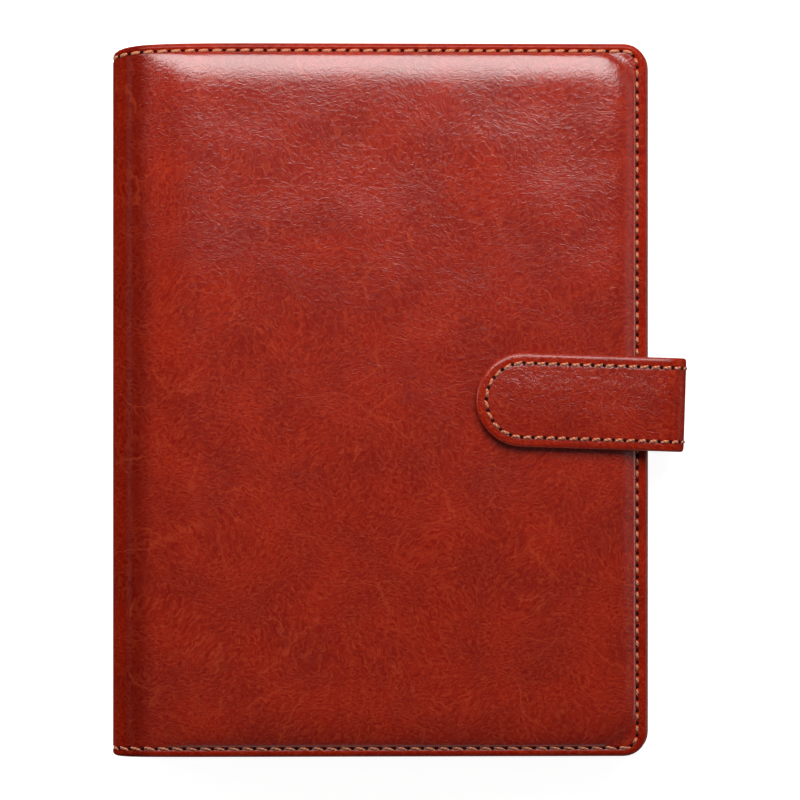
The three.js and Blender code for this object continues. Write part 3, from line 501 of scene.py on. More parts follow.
# %% Leather finish
def leather_finish(name, size, seed=0.0, bump=0.46, spine_shade_line=None, edge_wax=0.15,
                   waxed_from=22.0, creases=()):
    material, n, body = new_finish(name)
    where = on_sheet(n)
    surface = n.group(hide, {"Where mm": where, "Fold Size": size, "Seed": seed})
    crease_lines = [n.group(crease, {
        "Where mm": where, "Middle": (*middle, 0), "Angle": math.radians(angle),
        "Length": length, "Bow": bow, "Width": width})["Crease"]
        for middle, angle, length, bow, width in creases]
    height = surface["Height"]
    for line in crease_lines:
        height = n.math("MULTIPLY_ADD", line, 0.7, height)
    rough = n.math("MULTIPLY_ADD", surface["Fold"], 0.08,
                   n.fade(surface["Mottle"], 0.3, 0.7, 0.38, 0.32))
    n.feed(body, {"Base Color": leather_colour(n, where, surface, spine_shade_line, crease_lines),
                  "Roughness": rough, "Normal": n.bump(height, bump, 0.0002),
                  "Specular IOR Level": 0.0})
    wax_coat(n, body, where, size, seed, bump, edge_wax, waxed_from)
    return material


# Where the painted shade along the spine roll is darkest, in mm across the flat sheet.
SPINE_SHADE = 21.8
cover_leather = leather_finish("cover_leather", size=0.85, spine_shade_line=SPINE_SHADE, creases=(
    ((150.0, 96.0), -43.0, 22.0, 0.8, 0.30), ((160.0, 78.0), -30.0, 12.0, -0.6, 0.26),
    ((111.0, 70.0), -24.0, 18.0, 1.8, 0.32), ((60.0, 56.0), -18.0, 26.0, 2.4, 0.28),
    ((50.0, -2.0), -14.0, 26.0, -1.6, 0.26), ((95.0, -61.0), -9.0, 22.0, 2.0, 0.24)))
strap_leather = leather_finish(
    "strap_leather", size=1.1, seed=310.0, bump=0.58, edge_wax=0.5, waxed_from=50.0, creases=(
        ((68.0, 1.5), -50.0, 20.0, 1.2, 0.26), ((56.0, -6.0), 38.0, 10.0, -0.8, 0.2)))
print("leather finishes made")

# %% [markdown]
# The other soft finishes are plainer. The lining is a matt brown lining leather with a fine
# grain, the pockets are the same a shade darker, and the thread is a waxed cream thread
# whose twist shows as slanting ridges.

# %% Lining and pocket leather
def lining_finish(name, low, high, seed):
    material, n, body = new_finish(name)
    where = on_sheet(n)
    surface = n.group(hide, {"Where mm": where, "Fold Size": 2.0, "Seed": seed})
    colour = n.mix(n.fade(surface["Mottle"], 0.1, 0.9), low, high)
    colour = n.mix(n.math("MULTIPLY", surface["Pit"], 0.35), colour, low)
    colour = n.mix(n.fade(surface["Grain"], 0.35, 0.6, 0.3, 0.0), colour, low)
    colour = n.mix(n.math("MULTIPLY", worn_edge(n, where, 1.2), 0.3), colour, high)
    n.feed(body, {"Base Color": colour, "Roughness": n.fade(surface["Mottle"], 0.3, 0.7, 0.72, 0.6),
                  "Normal": n.bump(surface["Height"], 0.3, 0.00015), "Sheen Weight": 0.05})
    return material


lining_leather = lining_finish("lining_leather", srgb(104, 66, 48), srgb(134, 90, 68), 120.0)
pocket_leather = lining_finish("pocket_leather", srgb(92, 56, 40), srgb(120, 76, 56), 505.0)
strap_back = lining_finish("strap_lining_leather", srgb(120, 98, 84), srgb(158, 134, 118), 77.0)
print("lining finishes made")

# %% [markdown]
# The thread is twisted, so a slanting wave along it gives its relief, and paints lit and shaded bands
# into its colour as painted light and shade.
# The needle holes are small domes painted almost black as painted shade, because hardly any light gets
# into a real hole.


# %% Thread and needle holes
def thread_finish(name, shaded, lit):
    material, n, body = new_finish(name)
    twist = n.add("ShaderNodeTexWave", {"Vector": on_sheet(n), "Scale": 0.55, "Distortion": 0.6,
                                        "Detail": 1.0},
                  wave_type="BANDS", bands_direction="DIAGONAL").outputs["Fac"]
    fibre = n.noise(in_space(n), 3.0)["Fac"]
    # Painted light and shade: the colour runs from the shaded to the lit tone along the twist.
    colour = n.mix(n.fade(twist, 0.1, 0.8), shaded, lit)
    colour = n.mix(n.fade(fibre, 0.35, 0.75, 0.0, 0.45), colour, shaded)
    n.feed(body, {"Base Color": colour, "Roughness": n.fade(fibre, 0.3, 0.7, 0.55, 0.7),
                  "Normal": n.bump(twist, 0.6, 0.00012)})
    return material


cream_thread = thread_finish("cream_thread", srgb(166, 78, 50), srgb(214, 146, 106))
brown_thread = thread_finish("brown_thread", srgb(84, 50, 36), srgb(138, 92, 66))

# Painted shade: the colour of the shadow inside a needle hole.
hole_shadow, n, body = new_finish("needle_hole")
speck = n.noise(in_space(n), 1.5)["Fac"]
n.feed(body, {"Base Color": n.mix(n.fade(speck, 0.3, 0.7), srgb(18, 2, 2), srgb(44, 6, 4)),
              "Roughness": n.fade(speck, 0.3, 0.7, 0.7, 0.95), "Specular IOR Level": 0.1})
print("thread finishes made")

# %% [markdown]
# Metal, board, foam and paper
#
# The ring mechanism is nickel-plated steel. Rolled steel keeps faint lines along its
# length under the plating, and handling leaves soft smudges that change its gloss, not its
# colour. Paper and card get fibres and, on their edges, the lines of the single sheets.


# %% Plated metal finish
def metal_finish(name, bright, dull, rough_low, rough_high, drawn_along=(3.0, 0.04, 3.0)):
    material, n, body = new_finish(name)
    where = in_space(n)
    drawn = n.noise(n.scaled(where, drawn_along), 1.0, 3.0)["Fac"]
    smudge = n.noise(where, 0.09, 3.0, 0.6)["Fac"]
    speck = n.noise(where, 1.8)["Fac"]
    rough = n.fade(smudge, 0.35, 0.65, rough_low, rough_high)
    n.feed(body, {"Base Color": n.mix(n.fade(speck, 0.6, 0.78), bright, dull),
                  "Roughness": n.math("MULTIPLY_ADD", drawn, 0.07, rough),
                  "Normal": n.bump(drawn, 0.08, 0.00005), "Metallic": 1.0})
    return material


nickel = metal_finish("nickel_plate", srgb(226, 226, 222), srgb(178, 178, 172), 0.1, 0.22)
snap_nickel = metal_finish("snap_nickel", srgb(214, 210, 200), srgb(160, 156, 146), 0.18, 0.3,
                           drawn_along=(1.0, 1.0, 1.0))
print("metal finishes made")

# %% [markdown]
# The block of paper leans a little in the closed book, because the covers are not parallel.
# The lines of the single sheets are painted shade in the gaps between them. They lean with
# the block and show on its sides only, so a mask made from the direction of the surface
# keeps them off its flat faces.

# %% Lines of the single sheets
PAGE_PIVOT, PAGE_LEAN = (-75.5, 0.0, 22.0), math.radians(3.35)


def sheet_gaps(n, where, pitch):
    """A mask of the gaps between sheets of this pitch in mm, on the sides of a block: where shade is
    painted.
    """
    pages = n.add("ShaderNodeVectorRotate", {"Vector": where, "Center": PAGE_PIVOT,
                                             "Angle": PAGE_LEAN},
                  rotation_type="Y_AXIS", invert=True).outputs[0]
    uneven = n.noise(n.scaled(where, (0.05, 0.05, 1.5)), 1.0)["Fac"]
    phase = n.math("MULTIPLY_ADD", uneven, 1.1, n.math("DIVIDE", n.part(pages, "Z"), pitch))
    stripe = n.math("ABSOLUTE", n.math("SUBTRACT", n.math("FRACT", phase), 0.5))
    facing = n.add("ShaderNodeNewGeometry").outputs["Normal"]
    on_side = n.fade(n.math("ABSOLUTE", n.part(facing, "Z")), 0.3, 0.7, 1.0, 0.0)
    return n.math("MULTIPLY", n.fade(stripe, 0.33, 0.5), on_side)


# %% Board, foam, paper, card and film finishes
def fibre_finish(name, low, high, rough, fine=1.2, bump=0.2, layers=0.0):
    """A pulp or foam surface. With layers above 0, its sides show sheets of that pitch in mm."""
    material, n, body = new_finish(name)
    where = in_space(n)
    fibre = n.noise(n.scaled(where, (1.0, 0.35, 1.0)), fine, 4.0, 0.7)["Fac"]
    colour = n.mix(n.fade(n.noise(where, 0.12, 3.0)["Fac"], 0.3, 0.7), low, high)
    colour = n.mix(n.fade(fibre, 0.55, 0.8, 0.0, 0.35), colour, low)
    height = fibre
    if layers > 0:
        gap = sheet_gaps(n, where, layers)
        # Painted shade in the gaps between sheets: a darker copy of the paper's colour.
        shade = (low[0] * 0.45, low[1] * 0.42, low[2] * 0.38, 1.0)
        colour = n.mix(n.math("MULTIPLY", gap, 0.75), colour, shade)
        height = n.math("SUBTRACT", fibre, n.math("MULTIPLY", gap, 2.5))
    n.feed(body, {"Base Color": colour,
                  "Roughness": n.fade(fibre, 0.3, 0.7, rough, min(1.0, rough + 0.1)),
                  "Normal": n.bump(height, bump, 0.0001)})
    return material, body


grey_board, _ = fibre_finish("grey_board", srgb(120, 112, 98), srgb(150, 142, 126), 0.85, 0.8)
pad_foam, _ = fibre_finish("pad_foam", srgb(200, 190, 170), srgb(226, 218, 200), 0.9, 2.0, 0.4)
ivory_paper, _ = fibre_finish("ivory_paper", srgb(236, 228, 208), srgb(245, 240, 226), 0.78, 1.6,
                              0.12, layers=0.24)
kraft_card, _ = fibre_finish("kraft_card", srgb(196, 164, 122), srgb(216, 188, 148), 0.72, 0.9)
frosted_film, film = fibre_finish("frosted_film", srgb(224, 229, 231), srgb(230, 234, 236), 0.3,
                                  0.5, 0.05)
film.inputs["Transmission Weight"].default_value = 0.45
film.inputs["IOR"].default_value = 1.25
print("finishes:", len(bpy.data.materials))

# %% [markdown]
# Walking across the book
#
# Seen from its end, the cover is one strip: half the spine, a quarter-turn roll, and the
# flat cover. The strap is a strip as well. A strip is easiest to describe as a walk of
# straights and arcs, so this class turns a distance along the walk into a place and a
# heading. Every soft sheet is then laid out flat and wrapped over its walk.


# %% A walk of straights and arcs
class Walk:
    """Steps are ("straight", length) or ("arc", radius, turn), with turn above 0 to the left."""

    def __init__(self, start, heading, steps):
        self.steps = []
        self.length = 0.0
        place_now = (start[0], start[1], heading)
        for kind, size, *turn in steps:
            length = size if kind == "straight" else size * abs(turn[0])
            bend = 0.0 if kind == "straight" else math.copysign(1.0 / size, turn[0])
            self.steps.append((length, place_now, bend))
            place_now = self.go(place_now, bend, length)
            self.length += length

    @staticmethod
    def go(place_now, bend, distance):
        across, up, heading = place_now
        if bend == 0.0:
            return (across + distance * math.cos(heading), up + distance * math.sin(heading), heading)
        turned = heading + bend * distance
        return (across + (math.sin(turned) - math.sin(heading)) / bend,
                up - (math.cos(turned) - math.cos(heading)) / bend, turned)

    def at(self, distance):
        for length, place_now, bend in self.steps[:-1]:
            if distance <= length:
                return self.go(place_now, bend, distance)
            distance -= length
        _, place_now, bend = self.steps[-1]
        return self.go(place_now, bend, distance)


# %% The walks of both covers
SPINE_MIDDLE = 22.0
BACK_HEM_UP = 2.0
front_turn = math.pi / 2 + COVER_TILT
front_reach = (ROLL - HINGE_FRONT[0]) * math.tan(front_turn / 2)
front_roll_up = HINGE_FRONT[1] - front_reach
front_rise = front_roll_up - SPINE_MIDDLE
back_drop = SPINE_MIDDLE - BACK_HEM_UP - ROLL
front_walk = Walk((0.0, SPINE_MIDDLE), math.pi / 2, [
    ("straight", front_rise), ("arc", ROLL, -front_turn),
    ("straight", COVER_WIDTH - HINGE_FRONT[0] - front_reach)])
back_walk = Walk((0.0, SPINE_MIDDLE), -math.pi / 2, [
    ("straight", back_drop), ("arc", ROLL, math.pi / 2), ("straight", COVER_WIDTH - ROLL)])
FRONT_COVER_START = front_rise + ROLL * front_turn
FRONT_SHIFT = FRONT_COVER_START - HINGE_FRONT[0] - front_reach
BACK_COVER_START = back_drop + ROLL * math.pi / 2
BACK_SHIFT = BACK_COVER_START - ROLL
print("front sheet", round(front_walk.length, 1), "mm, back sheet", round(back_walk.length, 1), "mm")


# %% [markdown]
# At its top end the spine is drawn in a little where the leather is turned over a thin
# edge, so both sheets are pulled in there by the same amount and still meet.

# %% A place on either cover sheet
HEAD_DRAWN_IN, TAIL_DRAWN_IN = 3.7, 0.5


def draw_in(distance, along):
    most = HEAD_DRAWN_IN if along > 0 else TAIL_DRAWN_IN
    return along * (1.0 - most / COVER_HALF * math.exp(-max(distance - 9.2, 0.0) / 10.0))


def on_front(distance, along, out):
    across, up, heading = front_walk.at(distance)
    return place(across - math.sin(heading) * out, draw_in(distance, along),
                 up + math.cos(heading) * out)


def on_back(distance, along, out):
    across, up, heading = back_walk.at(distance)
    return place(across + math.sin(heading) * out, draw_in(distance, along),
                 up - math.cos(heading) * out)


print("head of the spine in mm:", [round(v / MM, 1) for v in on_front(0.0, COVER_HALF, 0.0)])


# %% [markdown]
# Sheets with a made edge
#
# A cut or turned edge is what makes a sheet look real, so one builder makes every large
# sheet. It lays rings of points round three sides, each at its own inset and height, which
# draws the turned edge, the stitch groove and the start of the padding. The middle is a
# plain grid. It also writes the sheet's flat coordinates and the distance from the edge,
# which the finishes read.


# %% Helpers for sheets
def smooth(value, low, high):
    t = min(1.0, max(0.0, (value - low) / (high - low)))
    return t * t * (3 - 2 * t)


def strip_faces(rows):
    """Square faces between rows of points."""
    return [(one[j], one[j + 1], two[j + 1], two[j])
            for one, two in zip(rows, rows[1:]) for j in range(len(one) - 1)]


def soft_mesh(name, points, faces, flats, edges, material, facing_out=True):
    """A mesh that also carries its flat coordinates and each point's distance from the edge."""
    if not facing_out:
        faces = [tuple(reversed(face)) for face in faces]
    piece = grid_mesh(name, points, faces)
    mesh = piece.data
    layer = mesh.uv_layers.new(name="flat_mm")
    for loop in mesh.loops:
        flat = flats[loop.vertex_index]
        layer.data[loop.index].uv = (flat[0] * MM, flat[1] * MM)
    mesh.attributes.new("from_edge", "FLOAT", "POINT").data.foreach_set("value", edges)
    mesh.materials.append(material)
    return piece


def merge_doubles(piece):
    merged = bmesh.new()
    merged.from_mesh(piece.data)
    bmesh.ops.remove_doubles(merged, verts=merged.verts, dist=1e-6)
    merged.to_mesh(piece.data)
    merged.free()


# %% Sheet builder
MIDDLE_INSET = 9.0


def sheet_piece(name, lay, length, half, radius, rings, middle_height, material, columns, rows,
                corner_steps=7, exact_until=5.0, facing_out=True, flat_turn=1.0, start=0.0):
    """A sheet with turned edges on three sides.

    rings holds (inset at the top, inset at the end, inset at the bottom, height) from the
    hidden side of the edge inwards; a height may be a function of (distance, along).
    """
    deepest = max(rings[-1][:3])
    points, flats, edges, ring_rows = [], [], [], []
    quarter = [(math.sin(a), math.cos(a)) for a in spread(0.0, math.pi / 2, corner_steps)[1:]]

    def corner(inset):
        if inset <= exact_until:
            return max(radius - inset, 0.0)
        left = max(radius - exact_until, 0.0)
        return left * (deepest - inset) / (deepest - exact_until)

    def add(distance, along, out, inset, outward):
        height = out(distance, along) if callable(out) else out
        points.append(lay(distance, along, height))
        turned = max(0.0, -height) if inset < 1.2 else 0.0
        flats.append((flat_turn * (distance + outward[0] * turned), along + outward[1] * turned))
        edges.append(inset)
        return len(points) - 1

    for top, end, bottom, out in rings:
        rx, ry_top, ry_low = corner(end), corner(top), corner(bottom)
        turn_at = length - end - rx
        high, low = half - top - ry_top, -(half - bottom - ry_low)
        ring = [add(s, half - top, out, top, (0, 1)) for s in spread(start, turn_at, columns)]
        ring += [add(turn_at + rx * sin, high + ry_top * cos, out, min(top, end), (sin, cos))
                 for sin, cos in quarter]
        ring += [add(length - end, y, out, end, (1, 0)) for y in spread(high, low, rows)[1:]]
        ring += [add(turn_at + rx * cos, low - ry_low * sin, out, min(bottom, end), (cos, -sin))
                 for sin, cos in quarter]
        ring += [add(s, -(half - bottom), out, bottom, (0, -1))
                 for s in spread(turn_at, start, columns)[1:]]
        ring_rows.append(ring)

    top, end, bottom, _ = rings[-1]
    end_row = ring[columns + corner_steps:columns + corner_steps + rows + 1]
    grid = [ring[:columns + 1]]
    for j, y in enumerate(spread(half - top, -(half - bottom), rows)[1:-1], start=1):
        grid.append([add(s, y, middle_height, min(deepest, MIDDLE_INSET), (0, 0))
                     for s in spread(start, length - end, columns)[:-1]] + [end_row[j]])
    grid.append(ring[:-(columns + 2):-1])
    piece = soft_mesh(name, points, strip_faces(ring_rows) + strip_faces(grid), flats, edges,
                      material, facing_out)
    if radius >= half:
        # A fully round end has no straight part, so its doubled points are merged.
        merge_doubles(piece)
    return piece


# %% [markdown]
# The padded covers
#
# Each cover is leather drawn over foam and board. The leather is turned over the board's
# edge, stitched a few millimetres in, and the foam swells up right behind the stitch line.
# The two sheets here meet at the middle of the spine and each is wrapped round one of its
# rolls. A slow, shallow noise keeps the padding from looking like a machined dome, and
# the padding is drawn down round the snap.

# %% Height of the padding
FRONT_PAD, BACK_PAD = 2.5, 2.0
STITCH_TOP, STITCH_END, STITCH_LOW = 2.4, 3.3, 2.7
PAD_START, PAD_ROLL = 3.0, 10.5
SNAP = (132.0, 0.0)

CORNER_EASE, MEAN_STITCH = 16.0, 2.6


def edge_distance(distance, along, length):
    """How far a point lies in from the hem, counted alike on all three sides."""
    from_top, from_low, from_end = COVER_HALF - along, COVER_HALF + along, length - distance
    top = from_top + (MEAN_STITCH - STITCH_TOP) * smooth(from_top, 0.5, 2.0)
    low = from_low - (STITCH_LOW - MEAN_STITCH) * smooth(from_low, 0.5, 2.5)
    end = from_end - (STITCH_END - MEAN_STITCH) * smooth(from_end, 0.5, 3.0)
    return CORNER_EASE - math.hypot(max(0.0, CORNER_EASE - end),
                                    max(0.0, CORNER_EASE - min(top, low)))


def pad_rise(inset):
    if inset <= PAD_START:
        return 0.0
    t = min(1.0, (inset - PAD_START) / PAD_ROLL)
    return math.sqrt(max(0.0, 1.0 - (1.0 - t) ** 2.0))


def slow_noise(distance, along, seed):
    return noise.noise(Vector((distance / 36.0 + seed, along / 44.0, seed)))


def cover_rise(distance, along, length, cover_start):
    off_the_roll = smooth(distance, cover_start - 3.0, cover_start + 15.0)
    return pad_rise(edge_distance(distance, along, length)) * off_the_roll


def front_height(distance, along):
    dome = 0.55 * (1.0 - (along / COVER_HALF) ** 2)
    dome += 0.22 * slow_noise(distance, along, 3.0) + 0.07 * slow_noise(distance * 3, along * 3, 8.0)
    height = cover_rise(distance, along, front_walk.length, FRONT_COVER_START) * (FRONT_PAD + dome)
    from_snap = math.hypot(distance - FRONT_SHIFT - SNAP[0], along - SNAP[1])
    return height + (FRONT_PAD - 0.05 - height) * (1.0 - smooth(from_snap, 6.6, 15.0))


def back_height(distance, along):
    slack = max(0.02, 0.12 + 0.12 * slow_noise(distance, along, 20.0))
    return cover_rise(distance, along, back_walk.length, BACK_COVER_START) * (BACK_PAD - slack)


print("padding at the middle of the front in mm:", round(front_height(100.0, 0.0), 2))

# %% [markdown]
# The hem is drawn as rings from its hidden side outwards: up round the turned edge, over
# its face, down into the groove that the thread pulls, and then up the padding.


# %% The turned edge
def cover_rings(height):
    turned = [(2.0, -3.2), (1.0, -3.15), (0.35, -2.9), (0.05, -2.4), (0.0, -1.8), (0.05, -1.2),
              (0.22, -0.7), (0.5, -0.32), (0.85, -0.1), (1.15, 0.0)]
    rings = [(d, d, d, out) for d, out in turned]
    rings.append((1.35, 2.4, 1.9, 0.0))
    rings.append((STITCH_TOP - 0.3, STITCH_END - 0.35, STITCH_LOW - 0.35, -0.22))
    rings.append((STITCH_TOP, STITCH_END, STITCH_LOW, -0.32))
    rings.append((STITCH_TOP + 0.32, STITCH_END + 0.32, STITCH_LOW + 0.32, -0.24))
    for extra in (0.55, 0.9, 1.4, 2.1, 3.1, 4.4, 6.0, 8.0, 10.5):
        rings.append((STITCH_TOP + extra, STITCH_END + extra, STITCH_LOW + extra, height))
    return rings


COLUMNS, ROWS = ((74, 76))
front_skin = sheet_piece("front_padded_leather", on_front, front_walk.length, COVER_HALF, CORNER,
                         cover_rings(front_height), front_height, cover_leather, COLUMNS, ROWS)
back_skin = sheet_piece("back_padded_leather", on_back, back_walk.length, COVER_HALF, CORNER,
                        cover_rings(back_height), back_height, cover_leather, COLUMNS, ROWS,
                        facing_out=False, flat_turn=-1.0)
print("front sheet", len(front_skin.data.vertices), "points")

# %% [markdown]
# Each sheet is shaped where the real leather bends, over the roll of the spine, and the two
# ends of that roll are worked out for it. No bend is set up with them here: each sheet is
# only baked in place, and the model's own leather is hidden. A sheet may bend across only
# one hinge, which is why the two meet at the middle of the spine.

# %% Bake the padded sheets in place
FRONT_ROLL_END = 41.15
FRONT_BEND = (place(0.0, 0.0, front_roll_up), place(HINGE_FRONT[0] + front_reach, 0.0, FRONT_ROLL_END))
BACK_BEND = (place(ROLL, 0.0, BACK_HEM_UP), place(0.0, 0.0, BACK_HEM_UP + ROLL))
front_bend = ("spine", "front_cover", *FRONT_BEND)
back_bend = ("back_cover", "spine", *BACK_BEND)


def bend_across(piece, bend):
    """Bakes a piece's placement into its points; no bend between the two bodies is set up."""
    first, second, start, end = bend
    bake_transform(piece)
    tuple(start)
    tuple(end)


bend_across(front_skin, front_bend)
bend_across(back_skin, back_bend)
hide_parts("front_leather", "front_foam_pad", "spine_leather")
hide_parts("back_leather", "back_foam_pad")
print("padded sheets bound:", front_skin.name, back_skin.name)

# %% [markdown]
# Lining
#
# Inside, one sheet of lining runs from the middle of the spine over each hinge to the
# cover's edge. It covers the turned-in leather, so its edge lies a little inside the
# cover's edge and stands up by its own thickness.

# %% Lining sheets
def lining_rings():
    profile = [(2.6, -3.16), (1.7, -3.2), (1.5, -3.4), (1.5, -3.7), (1.62, -3.92), (1.9, -HEM),
               (3.2, -HEM), (6.0, -HEM)]
    return [(d, d, d, out) for d, out in profile]


for side, lay, walk, bend, facing_out, flat_turn, nodes in (
        ("front", on_front, front_walk, front_bend, False, 1.0, ("front_lining", "spine_lining")),
        ("back", on_back, back_walk, back_bend, True, -1.0, ("back_lining",))):
    sheet = sheet_piece(side + "_lining_sheet", lay, walk.length, COVER_HALF, CORNER,
                        lining_rings(), -HEM, lining_leather, COLUMNS, 20, exact_until=4.0,
                        facing_out=facing_out, flat_turn=flat_turn)
    bend_across(sheet, bend)
    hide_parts(*nodes)
    print(sheet.name, len(sheet.data.vertices), "points")

# %% [markdown]
# Stitching
#
# The covers are lockstitched with waxed cream thread. Each stitch is a short bow of thread
# that rises out of one needle hole and dives into the next. The needle sets the stitches a
# little aslant, more on the lower edge and the strap than on the upper edge. A run of
# stitches follows a line of points on the sheet, and each hole is a small dark dot between
# two threads.


# %% Along a line, and round a tube
def run_length(line):
    steps = [0.0]
    for (a, b), (c, d) in zip(line, line[1:]):
        steps.append(steps[-1] + math.hypot(c - a, d - b))
    return steps


def on_run(line, steps, distance):
    """The place and the direction at a distance along a line."""
    distance = min(max(distance, 0.0), steps[-1])
    i = 0
    while i < len(steps) - 2 and steps[i + 1] < distance:
        i += 1
    span = max(steps[i + 1] - steps[i], 1e-6)
    t = (distance - steps[i]) / span
    (a, b), (c, d) = line[i], line[i + 1]
    return (a + (c - a) * t, b + (d - b) * t), ((c - a) / span, (d - b) / span)


def tube_faces(first, turns, sides, caps=""):
    """Faces round a tube of rings of points, which begins at point number first."""
    faces = []
    for j in range(turns - 1):
        for k in range(sides):
            a, b = first + j * sides + k, first + j * sides + (k + 1) % sides
            faces.append((a, b, b + sides, a + sides))
    last = first + (turns - 1) * sides
    if "start" in caps:
        faces.append(tuple(first + k for k in reversed(range(sides))))
    if "end" in caps:
        faces.append(tuple(last + k for k in range(sides)))
    return faces

# %% One stitch and one needle hole
SIDES, RINGS = 8, 7
HOLE_RINGS = ((0.08, 0.68), (0.14, 0.56), (0.16, 0.2))


def circle(sides):
    return [2 * math.pi * k / sides for k in range(sides)]


def needle_hole(lay, place_now, direction, side, base):
    """Points of a small low dome that stands for a hole and carries its painted shade: rings of
    (height, radius).
    """
    (s, y), (ds, dy) = place_now, direction
    points = []
    for height, wide in HOLE_RINGS:
        for a in circle(SIDES):
            off_s, off_y = wide * math.cos(a) * 0.9, side + wide * math.sin(a)
            points.append(lay(s + ds * off_s - dy * off_y, y + dy * off_s + ds * off_y,
                              base + height))
    return points


# %% Stitch builder
def stitch_run(name, lay, line, pitch, thread, base=-0.26, radius=0.46, cover=0.74, slant=0.25,
               hook=0.0, lift=0.34, seed=1.0, sunk_until=-1e3, body=None, bend=None):
    """Threads and needle holes along a line of (distance, along) points on a sheet."""
    steps = run_length(line)
    count = max(1, round(steps[-1] / pitch))
    pitch = steps[-1] / count
    points, flats, faces = [], [], []
    for i in range(count):
        shake = noise.noise(Vector((i * 0.73, seed, 0.0)))
        faces += tube_faces(len(points), RINGS, SIDES, caps="start end")
        for u in spread(0.0, 1.0, RINGS - 1):
            at = (i + 0.5 + (u - 0.5) * cover + shake * 0.06) * pitch
            (s, y), (ds, dy) = on_run(line, steps, at)
            side = slant * (u - 0.5) * 2.0 + hook * max(0.0, 0.3 - u) / 0.3 + 0.08 * shake
            rise = base + lift * math.sin(math.pi * u) ** 0.7 - 0.25 * (abs(u - 0.5) * 2.0) ** 4
            rise -= 0.32 * (1.0 - smooth(s, sunk_until - 2.0, sunk_until + 2.0))
            wide = radius * (0.5 + 0.5 * math.sin(math.pi * (0.06 + 0.88 * u)) ** 0.6)
            for a in circle(SIDES):
                off = side + wide * math.cos(a)
                points.append(lay(s - dy * off, y + ds * off, rise + 0.85 * wide * math.sin(a)))
                flats.append((at, a * wide))
    threads = soft_mesh(name, points, faces, flats, [1.0] * len(points), thread)
    hole_points, hole_faces = [], []
    for i in range(count + 1):
        side = slant * 0.12 * (1 if i % 2 else -1)
        hole_faces += tube_faces(len(hole_points), len(HOLE_RINGS), SIDES, caps="end")
        hole_points += needle_hole(lay, *on_run(line, steps, i * pitch), side, base)
    # The holes are dark domes that carry painted shade.
    holes = grid_mesh(name + "_holes", hole_points, hole_faces)
    holes.data.materials.append(hole_shadow)
    for each in (threads, holes):
        if bend:
            bend_across(each, bend)
        else:
            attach(each, body)
    print(name, count, "stitches of", round(pitch, 2), "mm")


# %% [markdown]
# The covers are sewn in one line along the head, down the fore-edge and back along the
# tail. The machine was set differently on each of these in the photograph, so the front
# cover has three runs, each with its own pitch, thickness and slant.


# %% Stitches round the covers
def three_sides(begin, end_at, top_at, low_at, radii, straights, turns):
    """A line along the top, round a corner, down the end, and back along the bottom."""
    rx, ry_top, ry_low = radii
    turn_at, high, low = end_at - rx, top_at - ry_top, -(low_at - ry_low)
    line = [(s, top_at) for s in spread(begin, turn_at, straights)]
    line += arc((turn_at, high), (rx, ry_top), math.pi / 2, 0.0, turns)[1:]
    line += [(end_at, y) for y in spread(high, low, straights)[1:]]
    line += arc((turn_at, low), (rx, ry_low), 0.0, -math.pi / 2, turns)[1:]
    return line + [(s, -low_at) for s in spread(turn_at, begin, straights)[1:]]


def cover_line(length, begin):
    return three_sides(begin, length - STITCH_END, COVER_HALF - STITCH_TOP,
                       COVER_HALF - STITCH_LOW,
                       (CORNER - STITCH_END, CORNER - STITCH_TOP, CORNER - STITCH_LOW), 40, 8)


edge = cover_line(front_walk.length, 11.0)
HEAD_CORNER, TAIL_CORNER = 44, 93
stitch_run("front_stitches_top", on_front, edge[:HEAD_CORNER + 1], 4.45, cream_thread,
           radius=0.55, cover=0.72, slant=0.12, seed=2.0, bend=front_bend)
stitch_run("front_stitches_fore_edge", on_front, edge[HEAD_CORNER:TAIL_CORNER + 1], 3.95,
           cream_thread, radius=0.5, cover=0.52, slant=0.06, seed=4.0, bend=front_bend)
stitch_run("front_stitches_bottom", on_front, edge[TAIL_CORNER:], 4.5, cream_thread,
           radius=0.42, cover=0.86, slant=-0.34, hook=0.35, seed=6.0, bend=front_bend)
stitch_run("back_stitches", on_back, cover_line(back_walk.length, 12.0), 4.3, cream_thread,
           slant=0.2, seed=9.0, bend=back_bend)

# %% [markdown]
# The strap
#
# The strap comes out of the back cover's edge, stands up along the fore-edge and bends over
# the front cover, where its round nose hides the snap. It sits a little askew, as in the
# photograph. It is a leather ply over a lining ply, so each is a sheet of its own, split at
# the middle of the upright part because each sheet can bend across only one hinge.

# %% The strap's walk
STRAP_HALF = 15.15
STRAP_SKEW = math.radians(1.85)
SNAP_ACROSS, SNAP_UP = 131.833, 32.019
STRAP_START = (159.0, 3.35)
STRAP_OUTER, LOWER_ROLL, UPPER_ROLL = 184.6, 8.0, 6.0
UPPER_AXIS_UP, UPPER_AXIS_INSET = 30.0486, 1.0
upper_turn = math.pi / 2 - COVER_TILT
upper_roll_up = UPPER_AXIS_UP - (UPPER_ROLL - UPPER_AXIS_INSET) * math.tan(upper_turn / 2)
upright = upper_roll_up - (STRAP_START[1] + LOWER_ROLL)
roll_end = (STRAP_OUTER - UPPER_ROLL + UPPER_ROLL * math.cos(upper_turn),
            upper_roll_up + UPPER_ROLL * math.sin(upper_turn))
tongue = ((roll_end[0] - SNAP_ACROSS) * math.cos(COVER_TILT)
          + (SNAP_UP - roll_end[1]) * math.sin(COVER_TILT) + STRAP_HALF)
LOWER_ARC = STRAP_OUTER - LOWER_ROLL - STRAP_START[0]
LOWER_ARC_END = LOWER_ARC + LOWER_ROLL * math.pi / 2
UPPER_ARC = LOWER_ARC_END + upright
STRAP_SPLIT = LOWER_ARC_END + upright / 2
strap_walk = Walk(STRAP_START, 0.0, [
    ("straight", LOWER_ARC), ("arc", LOWER_ROLL, math.pi / 2), ("straight", upright),
    ("arc", UPPER_ROLL, upper_turn), ("straight", tongue)])
